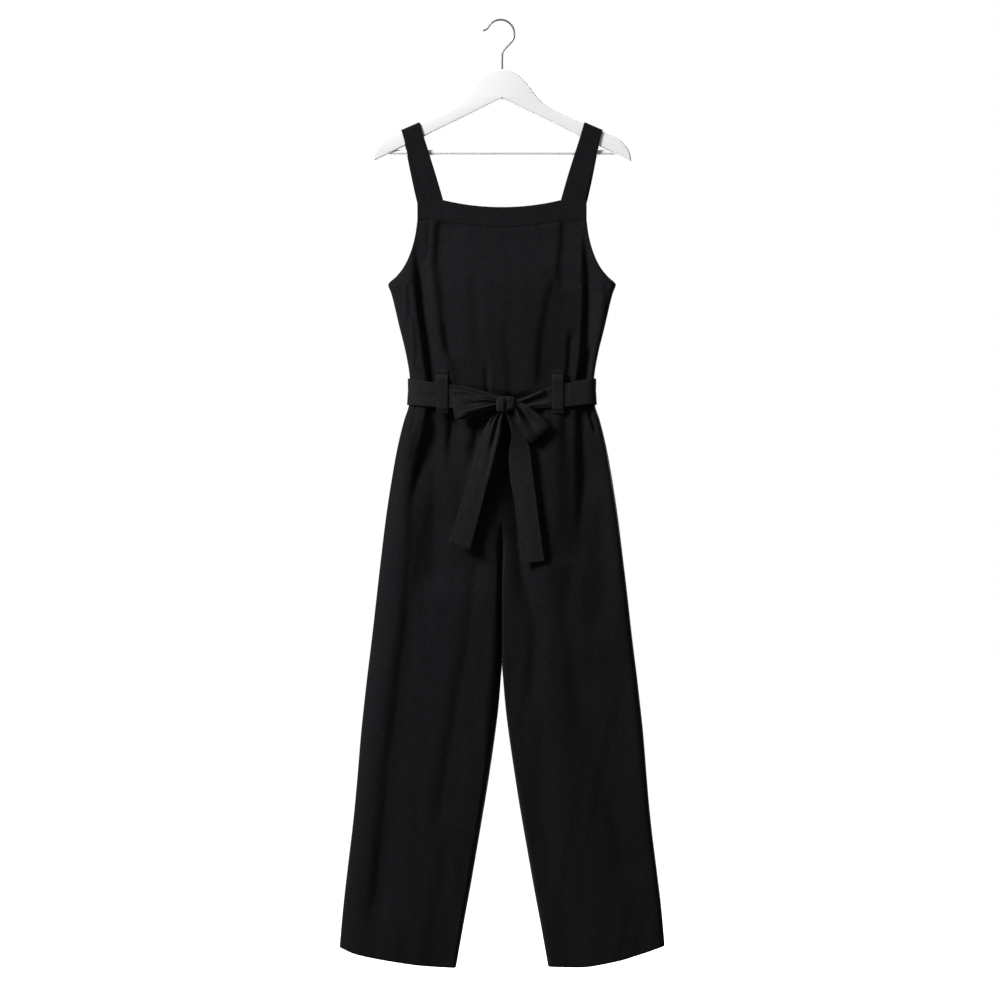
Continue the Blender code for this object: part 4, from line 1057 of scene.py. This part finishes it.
def carrier(side):
    left, right = CARRIER_X[side]
    over_sash = SASH_OFF + DOUBLE + LAID
    grid = []
    for down in spread(CARRIER_BOTTOM - CARRIER_TOP, CARRIER_STEPS[0]):
        drop = CARRIER_TOP + down
        in_from_end = min(drop - CARRIER_TOP - CARRIER_SEWN, (CARRIER_BOTTOM - CARRIER_END - drop) * CARRIER_STEEPER)
        lift = LAID + (over_sash - LAID) * float(smooth(in_from_end / CARRIER_RISE)) + CARRIER_WALL
        from_bar = min(down, CARRIER_BOTTOM - CARRIER_TOP - down) - CARRIER_BAR
        lift -= BAR_DEEP * float(dent(from_bar, BAR_WIDE))
        spots = left + spread(right - left, CARRIER_STEPS[1])
        bow = CARRIER_BOW * np.sin(pi * (spots - left) / (right - left))
        grid.append([(x, -(front_depth(x, drop) + lift + b), -drop) for x, b in zip(spots, bow, strict=True)])
    return wall(f"belt_loop_{side}_cloth", np.array(grid), CARRIER_WALL, SASH_CREPE_PAINTED_LIGHT, (0, -1, 0))


for side in ("left", "right"):
    dress(carrier(side), f"belt_loop_{side}")

# %% [markdown]
# ## The bow
#
# The sash's ends are tied once and bowed. The knot is a tight wrap with a deep valley between its two turns. Out of
# it come two bows, whose pleats start at the knot and open outwards, and two tails that hang over the trousers.

# %% The knot
KNOT_X, KNOT_DROP, KNOT_Y = 6.4, 653.5, -45.4
KNOT_WIDE, KNOT_DEEP, KNOT_TALL = 33.0, 18.0, 27.0
KNOT_POWER = 0.52  # below 1 the knot is squarer than an ellipsoid
# The creases round the knot, in mm from its middle: where they start and end, how deep and how wide they are. The
# first is the valley between the two turns.
KNOT_CREASES = table(
    "x0 high0 x1 high1 depth width",
    (-0.9, 15, -0.2, -9, 7, 1.1),
    (9, 5, 1.5, -5.5, 1.3, 1.5),
    (12, 14, 9.5, 7, 0.8, 1.3),
)
# The second turn starts this much lower, at this x, is full this far on, and its lower end is this much higher.
TURN_LOWER, TURN_FROM, TURN_GROWS, TURN_RISE = 1.6, -0.3, 3.6, 3.6


def knot():
    work = bmesh.new()
    bmesh.ops.create_uvsphere(work, u_segments=120, v_segments=90, radius=1.0)
    for vert in work.verts:
        x, y, z = (abs(c) ** KNOT_POWER * (1 if c > 0 else -1) for c in vert.co)
        x, high = x * KNOT_WIDE / 2, z * KNOT_TALL / 2
        lift = 0.0
        for x0, high0, x1, high1, depth, width in zip(*KNOT_CREASES.values(), strict=True):
            t = (high - high0) / (high1 - high0)
            ends = float(smooth(t / 0.15 + 1) * smooth((1 - t) / 0.15 + 1))
            lift -= depth * ends * dent(x - x0 - (x1 - x0) * t, width)
        second = float(smooth((x - TURN_FROM) / TURN_GROWS))
        lift -= TURN_LOWER * (1 - second) * float(x > TURN_FROM)
        high += TURN_RISE * second * float(smooth(-high / KNOT_TALL * 2))
        y = y * (KNOT_DEEP / 2 + (lift if y < 0 else 0.0))
        vert.co = Vector((KNOT_X + x, KNOT_Y + y, -KNOT_DROP + high)) * MM
    mesh = bpy.data.meshes.new("bow_knot_cloth")
    work.to_mesh(mesh)
    work.free()
    layer = mesh.uv_layers.new(name="cloth")
    for loop in mesh.loops:
        spot = mesh.vertices[loop.vertex_index].co
        layer.data[loop.index].uv = (spot.x, spot.z + spot.y * 0.7)
    mesh.shade_smooth()
    mesh.materials.append(SASH_CREPE_PAINTED_LIGHT)
    return shown("bow_knot_cloth", mesh)


tied = knot()
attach(tied, "root")
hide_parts("bow_knot")
dress(belt, "belt")
print("The knot has", len(tied.data.polygons), "faces.")

# %% The bows' grids
BOW_COLUMNS = "share x_up drop_up x_low drop_low"
BOWS = {
    "left": table(
        BOW_COLUMNS,
        (0, -10.6, 643, -10.6, 654.5),
        (0.25, -29, 638.5, -29, 661),
        (0.52, -51, 638.5, -50, 668),
        (0.78, -70, 639, -67, 674.5),
        (1, -86.4, 640, -79.6, 679.5),
    ),
    "right": table(
        BOW_COLUMNS,
        (0, 24.4, 649, 21.2, 664),
        (0.2, 38, 653, 22, 680),
        (0.45, 51, 661.5, 29.5, 695.5),
        (0.72, 67, 675.5, 39.5, 709.5),
        (1, 83, 690, 51.5, 720),
    ),
}
BULK_COLUMNS = "share deep stand"
BOW_BULK = {
    "left": table(BULK_COLUMNS, (0, 6.5, 3.6), (0.3, 12, 1), (0.65, 14.5, 0), (0.9, 13.5, 0), (1, 13, 0)),
    "right": table(BULK_COLUMNS, (0, 6.5, 3.6), (0.3, 10.5, 0), (0.65, 9.5, -1.2), (0.9, 8.5, -1.2), (1, 8, -1.2)),
}
BOW_SLIP = {"left": 8.0, "right": 4.0}  # the back layer hangs lower than the front one
BOW_CORNER = {"left": 9.0, "right": 0.0}  # and the front one's lower corner bends back at its end
BOW_END = {"left": 0.0, "right": 1.5}  # or its whole end does
BOW_TURN = 0.84  # where the bow starts to turn back
BOW_REAR = {"left": 38.8, "right": 39.6}
BOW_OVER = {"left": 1.2, "right": 3.4}
BOW_WIDE, BOW_SOFT, BOW_ROUND = 30.0, 0.3, 1.6
BENDS_OVER, BENDS_FROM = 0.3, 2.333
BOW_STEPS, TURN_STEPS, ACROSS_STEPS = 34, 17, 42
# Pleats of a bow's front: across the strip at the knot and at their end, how far out they reach, and their size.
PLEATS = {
    "left": table(
        "at_knot at_end reach depth width",
        (0.10, 0.06, 0.26, 2.2, 0.050),
        (0.30, 0.20, 0.30, 2.8, 0.055),
        (0.50, 0.42, 0.72, 3.6, 0.070),
        (0.70, 0.64, 0.32, 2.6, 0.055),
        (0.86, 0.84, 1.10, -2.6, 0.080),
        (0.20, 0.13, 0.34, -1.2, 0.050),
        (0.40, 0.31, 0.40, -1.4, 0.050),
    ),
    "right": table(
        "at_knot at_end reach depth width",
        (0.41, 0.43, 0.78, 12.5, 0.105),
        (0.12, 0.08, 0.26, 2.4, 0.055),
        (0.84, 0.88, 0.34, 3, 0.060),
        (0.26, 0.28, 0.70, -2, 0.080),
        (0.64, 0.70, 0.80, -3, 0.090),
    ),
}


def pleat_relief(side, share, v):
    total = 0.0
    for at_knot, at_end, reach, depth, width in zip(*PLEATS[side].values(), strict=True):
        t = min(share / reach, 1.0)
        middle = at_knot + (at_end - at_knot) * t
        wide = width * (0.8 + 0.9 * t)
        total -= depth * float(smooth(1.25 - share / reach)) * dent(v - middle, wide)
    return total


def bow(side, seed):
    out = [(share, -1.0) for share in np.concatenate([[0.0, 0.004, 0.012], np.linspace(0.03, BOW_TURN, BOW_STEPS)])]
    turn = [(BOW_TURN + (1 - BOW_TURN) * sin(a), -cos(a)) for a in np.linspace(0, pi, TURN_STEPS)[1:-1]]
    shares = spread_same(BOW_WIDE, ACROSS_STEPS) / BOW_WIDE
    rows = []
    for share, front in out + turn + [(share, 1.0) for share, _ in out[::-1]]:
        up = np.array(measures(BOWS[side], share, "x_up", "drop_up", key="share"))
        low = np.array(measures(BOWS[side], share, "x_low", "drop_low", key="share"))
        low = low + np.array([0.0, BOW_SLIP[side] * (1 + front) / 2 * sin(pi * min(share, 1.0) ** 0.8)])
        spots = [up + (low - up) * v for v in shares]
        rear = max([BOW_REAR[side]] + [front_depth(*spot) + BOW_OVER[side] for spot in spots[:: len(spots) // 4]])
        deep, stand = measures(BOW_BULK[side], share, "deep", "stand", key="share")
        row = []
        for (x, drop), v in zip(spots, shares, strict=True):
            lift = pleat_relief(side, share, v)
            lift += BOW_ROUND * sin(pi * v) * smooth(share / 0.4)
            lift -= (BOW_CORNER[side] * smooth(v) + BOW_END[side]) * smooth(share / BENDS_OVER - BENDS_FROM)
            lift = max(lift, 3.0 - deep) * (1 - front) / 2
            y = -(rear + stand + deep / 2) + front * deep / 2 - lift
            row.append((x, y, -drop))
        rows.append(row)
    grid = np.array(rows)
    soft = unevenness(grid[:, :, 0] * 2.5, grid[:, :, 2] * 4.0, seed)
    grid[:, :, 1] += BOW_SOFT * soft
    return wall(f"bow_loop_{side}_cloth", grid, DOUBLE, SASH_CREPE_PAINTED_LIGHT, (0, -1, 0), spot=(0.15, 0.5))


for side, seed in (("left", 61), ("right", 62)):
    dress(bow(side, seed), f"bow_loop_{side}")

# %% The tails' grids
TAIL_COLUMNS = "share x_left drop_left x_right drop_right stand gather"
TAILS = {
    "left": table(
        TAIL_COLUMNS,
        (0, -11.5, 668, 3.5, 668, 6, 3.5),
        (0.07, -23, 682, 0.5, 682, 4.5, 4.5),
        (0.15, -31, 697, -0.7, 697, 3, 3.5),
        (0.32, -43, 735, -9, 733, 0.8, 1.5),
        (0.66, -66.5, 811, -31.5, 815, LAID, 0.6),
        (1, -90, 887, -54.4, 899, LAID, 0),
    ),
    "right": table(
        TAIL_COLUMNS,
        (0, 7.5, 668.5, 18.5, 668.5, 1.2, 0.4),
        (0.09, 14, 690, 33, 690, 0.9, 0.4),
        (0.16, 16.5, 709, 42, 709, 0.4, 0.3),
        (0.22, 13.6, 724, 46.2, 724, LAID, 0.3),
        (0.3, 11.4, 744.5, 49, 744, LAID, 0.4),
        (0.42, 13.4, 775, 53, 774.5, LAID, 0.6),
        (0.6, 21, 821, 59, 820, LAID, 0.8),
        (0.8, 27.4, 872, 65.6, 870, LAID, 0.4),
        (1, 34, 923.8, 72.3, 919.5, LAID, 0),
    ),
}
# How much further off the trousers the soft tails stand than their plain walls, from the knot to their ends.
TAIL_STAND = {
    "left": table("share off", (0, 0), (0.25, 4.2), (0.6, 5), (1, 4.6)),
    "right": table("share off", (0, 7), (0.12, 7.2), (0.4, 3), (0.6, 3.6), (1, 4)),
}
# How much further off its right edge stands than its left one, from the knot to its end.
TAIL_LEAN = {
    "left": table("share lean", (0, 0), (0.25, 2.25), (0.5, 4.5), (1, 4.5)),
    "right": table("share lean", (0, -9), (0.12, -7.5), (0.35, 0), (1, 0)),
}
TAIL_PLEATS = {
    "left": table(
        "v0 share0 v1 share1 depth width",
        (0.56, 0, 0.68, 0.30, 7.5, 0.11),
        (0.24, 0, 0.34, 0.16, 4, 0.08),
        (0.40, 0, 0.48, 0.12, -1.5, 0.07),
        (0.88, 0, 0.90, 0.60, -2.4, 0.09),
    ),
    "right": table("v0 share0 v1 share1 depth width", (0.5, 0, 0.5, 0.12, 1, 0.15)),
}
TAIL_LONG, TAIL_WIDE, TAIL_SOFT = 230.0, 35.0, 0.35
TAIL_STEP, TAIL_ACROSS = 3.0, 26


def tail(side, seed):
    rows = []
    shares = spread_same(TAIL_WIDE, TAIL_ACROSS) / TAIL_WIDE
    columns = TAIL_COLUMNS.split()[1:]
    for share in spread(TAIL_LONG, TAIL_STEP) / TAIL_LONG:
        x_left, drop_left, x_right, drop_right, stand, gather = measures(TAILS[side], share, *columns, key="share")
        off = float(read(TAIL_STAND[side], "off", share, "share"))
        lean = float(read(TAIL_LEAN[side], "lean", share, "share"))
        row = []
        for v in shares:
            x = x_left + (x_right - x_left) * v
            drop = drop_left + (drop_right - drop_left) * v
            deep = front_depth(x, drop) + stand + DOUBLE + gather * sin(pi * v) ** 2
            deep += off
            deep += lean * (v - 0.5)
            for v0, share0, v1, share1, depth, width in zip(*TAIL_PLEATS[side].values(), strict=True):
                t = (share - share0) / (share1 - share0)
                middle = v0 + (v1 - v0) * min(t, 1.0)
                deep -= depth * float(smooth(1.3 - t)) * float(dent(v - middle, width))
            row.append((x, -deep, -drop))
        rows.append(row)
    grid = np.array(rows)
    grid[:, :, 1] += TAIL_SOFT * unevenness(grid[:, :, 0] * 2.0, grid[:, :, 2] * 2.0, seed)
    return wall(f"belt_tail_{side}_cloth", grid, DOUBLE, SASH_CREPE_PAINTED_LIGHT, (0, -1, 0))


for side, seed in (("left", 71), ("right", 72)):
    dress(tail(side, seed), f"belt_tail_{side}")

# %% [markdown]
# ## Stitches
#
# Sewing repeats one small thing along a path, which is what Geometry Nodes are for. The tree takes the lines to sew
# along as bare edges, sets points along them at the stitch's pitch, puts a short plump thread on each, turned along
# the line, and makes the copies real. Black thread on black cloth is hardly seen, but it catches the light.

# %% The stitch tree
STITCH_PITCH, STITCH_LONG, STITCH_THICK = 0.0030, 0.0023, 0.00042


def stitch_tree():
    tree = bpy.data.node_groups.new("sewn_line", "GeometryNodeTree")
    face = tree.interface
    face.new_socket("Lines", in_out="INPUT", socket_type="NodeSocketGeometry")
    for label, value in (("Pitch", STITCH_PITCH), ("Length", STITCH_LONG), ("Thickness", STITCH_THICK)):
        face.new_socket(label, in_out="INPUT", socket_type="NodeSocketFloat").default_value = value
    face.new_socket("Thread", in_out="INPUT", socket_type="NodeSocketMaterial")
    face.new_socket("Stitches", in_out="OUTPUT", socket_type="NodeSocketGeometry")
    start, end = node(tree, "NodeGroupInput"), node(tree, "NodeGroupOutput")
    curve = node(tree, "GeometryNodeMeshToCurve")
    points = node(tree, "GeometryNodeResampleCurve", mode="LENGTH")
    bead = node(tree, "GeometryNodeMeshUVSphere", Segments=6, Rings=4, Radius=0.5)
    size = node(tree, "ShaderNodeCombineXYZ")
    shape = node(tree, "GeometryNodeTransform")
    tangent = node(tree, "GeometryNodeInputTangent")
    turned = node(tree, "FunctionNodeAlignRotationToVector", axis="Z")
    copies = node(tree, "GeometryNodeInstanceOnPoints")
    real = node(tree, "GeometryNodeRealizeInstances")
    finish = node(tree, "GeometryNodeSetMaterial")
    join(
        tree,
        (start, "Lines", curve, "Mesh"),
        (curve, "Curve", points, "Curve"),
        (start, "Pitch", points, "Length"),
        (start, "Thickness", size, "X"),
        (start, "Thickness", size, "Y"),
        (start, "Length", size, "Z"),
        (bead, "Mesh", shape, "Geometry"),
        (size, "Vector", shape, "Scale"),
        (tangent, "Tangent", turned, "Vector"),
        (points, "Curve", copies, "Points"),
        (shape, "Geometry", copies, "Instance"),
        (turned, "Rotation", copies, "Rotation"),
        (copies, "Instances", real, "Geometry"),
        (real, "Geometry", finish, "Geometry"),
        (start, "Thread", finish, "Material"),
        (finish, "Geometry", end, "Stitches"),
    )
    return tree


def sew(name, lines, tree):
    """Stitches along some lines, as one plain mesh."""
    points, edges = [], []
    for line in lines:
        edges += [(len(points) + i, len(points) + i + 1) for i in range(len(line) - 1)]
        points += [tuple(p) for p in np.asarray(line) * MM]
    mesh = bpy.data.meshes.new(name + "_lines")
    mesh.from_pydata(points, edges, [])
    guide = shown(name + "_lines", mesh)
    sewing = guide.modifiers.new("sewing", "NODES")
    sewing.node_group = tree
    for item in tree.interface.items_tree:
        if item.name == "Thread":
            sewing[item.identifier] = BLACK_THREAD
    graph = bpy.context.evaluated_depsgraph_get()
    made = shown(name, bpy.data.meshes.new_from_object(guide.evaluated_get(graph)))
    bpy.data.objects.remove(guide, do_unlink=True)
    made.data.shade_smooth()
    return made


# %% The sewn lines
THREAD_UP = 0.12  # the thread's middle lies this far above the cloth
SEWN_PART = (0.1, 0.9)  # a line across an end runs from the first to the second share of its width
ARMHOLE_SEWN, LOOP_SIDE_SEWN, LOOP_END_SEWN = 6.0, 2.0, (2.2, 5.0)  # how far from the edges the lines run


def sewn(name, from_edge, last, rows=None):
    """A line along a piece's first or last edge: down its sides past some rows, or across its ends."""
    grid, normal = CUT[name]["grid"], CUT[name]["normal"]
    if rows is None:
        grid, normal = grid.swapaxes(0, 1), normal.swapaxes(0, 1)
        rows = range(*(int(share * (len(grid) - 1)) + more for share, more in zip(SEWN_PART, (0, 1), strict=True)))
    run = travelled(grid, 1)
    line = []
    for r in rows:
        at = run[r, -1] - from_edge if last else from_edge
        spot, way = (np.array([np.interp(at, run[r], of[r, :, i]) for i in range(3)]) for of in (grid, normal))
        line.append(spot + THREAD_UP * way)
    return line


lines = []
for face in ("front", "back"):
    name = f"bodice_{face}_cloth"
    armhole = [r for r, row in enumerate(CUT[name]["grid"]) if -row[0, 2] < UNDERARM + 2 and r > 3]
    lines += [sewn(name, ARMHOLE_SEWN, last, armhole) for last in (False, True)]
for side in ("left", "right"):
    name = f"belt_loop_{side}_cloth"
    lines += [sewn(name, from_end, last) for from_end in LOOP_END_SEWN for last in (False, True)]
    whole = range(3, len(CUT[name]["grid"]) - 3)
    lines += [sewn(name, LOOP_SIDE_SEWN, last, whole) for last in (False, True)]
stitches = sew("stitches", lines, stitch_tree())
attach(stitches, "root")
print("Stitched lines:", len(lines), "with", len(stitches.data.polygons), "faces.")

# %% [markdown]
# ## The hanger
#
# The hanger is shaped from one board, painted white, with a round bar between its arms and a chromed wire hook. The
# paint is smooth with the faintest grain, and the chrome is a little hazed, so it shades softly round the wire.


# %% Paint and chrome
def coated(made, base, grain, dark, light, **mapping):
    """Gives a finish a tone that wanders between two colours, and returns the noise that carries it."""
    tree = made.node_tree
    place, noise = node(tree, "ShaderNodeTexCoord"), node(tree, "ShaderNodeTexNoise", **grain)
    if mapping:
        stretch = node(tree, "ShaderNodeMapping", **mapping)
        join(tree, (place, "Object", stretch, "Vector"), (stretch, "Vector", noise, "Vector"))
    else:
        join(tree, (place, "Object", noise, "Vector"))
    tone = tones(tree, dark, light)
    join(tree, (noise, "Fac", tone, "Fac"), (tone, "Color", base, "Base Color"))
    return noise


def painted(name):
    made, base = principled(name, 0.45, specular=0.3)
    grain = {"Scale": 4.0, "Detail": 4.0}
    noise = coated(made, base, grain, (0.77, 0.77, 0.785), (0.82, 0.82, 0.83), Scale=(6.0, 60.0, 60.0))
    bump = node(made.node_tree, "ShaderNodeBump", Strength=0.12, Distance=0.0004)
    join(made.node_tree, (noise, "Fac", bump, "Height"), (bump, "Normal", base, "Normal"))
    return made


def chromed(name):
    made, base = principled(name, 0.52, metallic=1.0)
    coated(made, base, {"Scale": 180.0, "Detail": 3.0}, (0.26, 0.26, 0.265), (0.34, 0.34, 0.345))
    return made


WHITE_PAINT = painted("white_paint_on_wood")
CHROME = chromed("chromed_wire")
print("Finishes for the hanger:", WHITE_PAINT.name, CHROME.name)

# %% [markdown]
# A flat curve with a bevel gives the board its outline and its rounded edges at once. The bar and the wire are curves
# too, swept by a round section. Each is turned into a plain mesh with its place in it, in the place of its plain solid.

# %% The hanger's measures
ARM = table(
    "x drop",
    (0, 83),
    (13, 85.4),
    (31, 95),
    (46.5, 111.3),
    (57.3, 126.6),
    (72.5, 142),
    (92, 154),
    (115.5, 164.3),
    (156.4, 182.1),
    (184, 194.2),
    (197, 199.9),
    (209.8, 211.3),
    (217.8, 225),
    (220, 240),
)
NOTCH = 131.8
WIRE, CROOK_RADIUS, CROOK_SIDE = 3.4, 23.5, -2.5
STEM_TOP, STEM_END = 57.0, 133.5
BAR, BAR_DROP, BAR_HALF = 9.0, 224.4, 203.0


# %% From curves to pieces
def from_curve(name, data, node_name, finish, turn=None):
    """A swept or bevelled curve as a plain closed mesh in the place of a plain solid."""
    drawn = shown(f"{name}_line", data)
    graph = bpy.context.evaluated_depsgraph_get()
    mesh = bpy.data.meshes.new_from_object(drawn.evaluated_get(graph))
    bpy.data.objects.remove(drawn, do_unlink=True)
    if turn:
        mesh.transform(turn)
    work = bmesh.new()
    work.from_mesh(mesh)
    bmesh.ops.remove_doubles(work, verts=work.verts, dist=0.01 * MM)
    bmesh.ops.recalc_face_normals(work, faces=work.faces)
    work.to_mesh(mesh)
    work.free()
    mesh.materials.clear()
    mesh.materials.append(finish)
    mesh.shade_smooth()
    mesh.set_sharp_from_angle(angle=radians(40))
    made = shown(name, mesh)
    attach(made, "root")
    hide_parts(node_name)
    print(name, "is finished with", finish.name, "and has", len(mesh.polygons), "faces.")


def swept(name, route, radius):
    data = bpy.data.curves.new(f"{name}_line", "CURVE")
    data.dimensions = "3D"
    data.bevel_depth = radius * MM
    data.bevel_resolution = 6
    data.use_fill_caps = True
    line = data.splines.new("POLY")
    line.points.add(len(route) - 1)
    for spot, (x, z) in zip(line.points, route, strict=True):
        spot.co = (x * MM, 0.0, z * MM, 1.0)
    return data


def pulled(pulls, t):
    """Points on the curve that four points pull."""
    weights = ((1 - t) ** 3, 3 * t * (1 - t) ** 2, 3 * t * t * (1 - t), t**3)
    return sum(weight * pull for weight, pull in zip(weights, pulls, strict=True))


# %% The board
half = [(x, -drop) for x, drop in zip(ARM["x"], ARM["drop"], strict=True)]
outline = [(-x, z) for x, z in half[:0:-1]] + half + [(0.0, -NOTCH)]
sharp = {(0.0, -NOTCH), half[-1], (-half[-1][0], half[-1][1])}
board = bpy.data.curves.new("board_line", "CURVE")
board.dimensions = "2D"
board.fill_mode = "BOTH"
board.resolution_u = 12
board.extrude = (WOOD_THICK / 2 - WOOD_EDGE) * MM
board.bevel_depth = WOOD_EDGE * MM
board.bevel_resolution = 4
board.offset = -WOOD_EDGE * MM
line = board.splines.new("BEZIER")
line.use_cyclic_u = True
line.bezier_points.add(len(outline) - 1)
for spot, (x, z) in zip(line.bezier_points, outline, strict=True):
    spot.co = (x * MM, z * MM, 0.0)
    spot.handle_left_type = spot.handle_right_type = "VECTOR" if (x, z) in sharp else "AUTO"
upright = Matrix.Rotation(pi / 2, 4, "X")
from_curve("shaped_board", board, "hanger_wood", WHITE_PAINT, upright)

# %% The bar and the bent wire
rounded = [(BAR_HALF - 1.5 * (1 - sin(a)), -BAR_DROP) for a in np.linspace(0, pi / 2, 5)]
bar_route = [(-x, z) for x, z in rounded[::-1]] + rounded
from_curve("round_bar", swept("round_bar", bar_route, BAR / 2), "hanger_bar", WHITE_PAINT)

inside = CROOK_RADIUS - WIRE / 2
centre = np.array([CROOK_SIDE, -((inside**2 - CROOK_SIDE**2) ** 0.5)])
angles = np.radians(np.linspace(-6, 149, 80))
arc = centre + CROOK_RADIUS * np.stack([np.cos(angles), np.sin(angles)], axis=1)
start, bend = np.array([0.5, -STEM_TOP]), arc[0]
neck = pulled((start, start + (0.3, 11.0), bend + (1.5, -12.5), bend), np.linspace(0, 1, 41)[:-1, None])
pulls = (arc[-1], arc[-1] + (-2.0, -3.6), arc[-1] + (-4.4, -6.2), arc[-1] + (-9.6, -7.0))
flare = pulled(pulls, np.linspace(0, 1, 17)[1:, None])
stem = np.array([(0.0, -STEM_END), (0.0, -100.0), (0.3, -STEM_TOP - 8.0)])
wire_route = np.concatenate([stem, neck, arc, flare])
from_curve("bent_wire", swept("bent_wire", wire_route, WIRE / 2), "hanger_hook", CHROME)

# %% Light from the white surround below, on the hanger alone
glow_data = bpy.data.lights.new("glow_from_below", "AREA")
glow_data.size = 0.8
glow_data.energy = 48.0
glow = shown("glow_from_below", glow_data)
glow.location = (-0.2, 0.8, -1.6)
glow.rotation_euler = (Vector((0.0, 0.0, -0.15)) - glow.location).to_track_quat("-Z", "Y").to_euler()
lit_pieces = bpy.data.collections.new("lit_from_below")
for name in ("shaped_board", "round_bar"):
    lit_pieces.objects.link(bpy.data.objects[name])
glow.light_linking.receiver_collection = lit_pieces
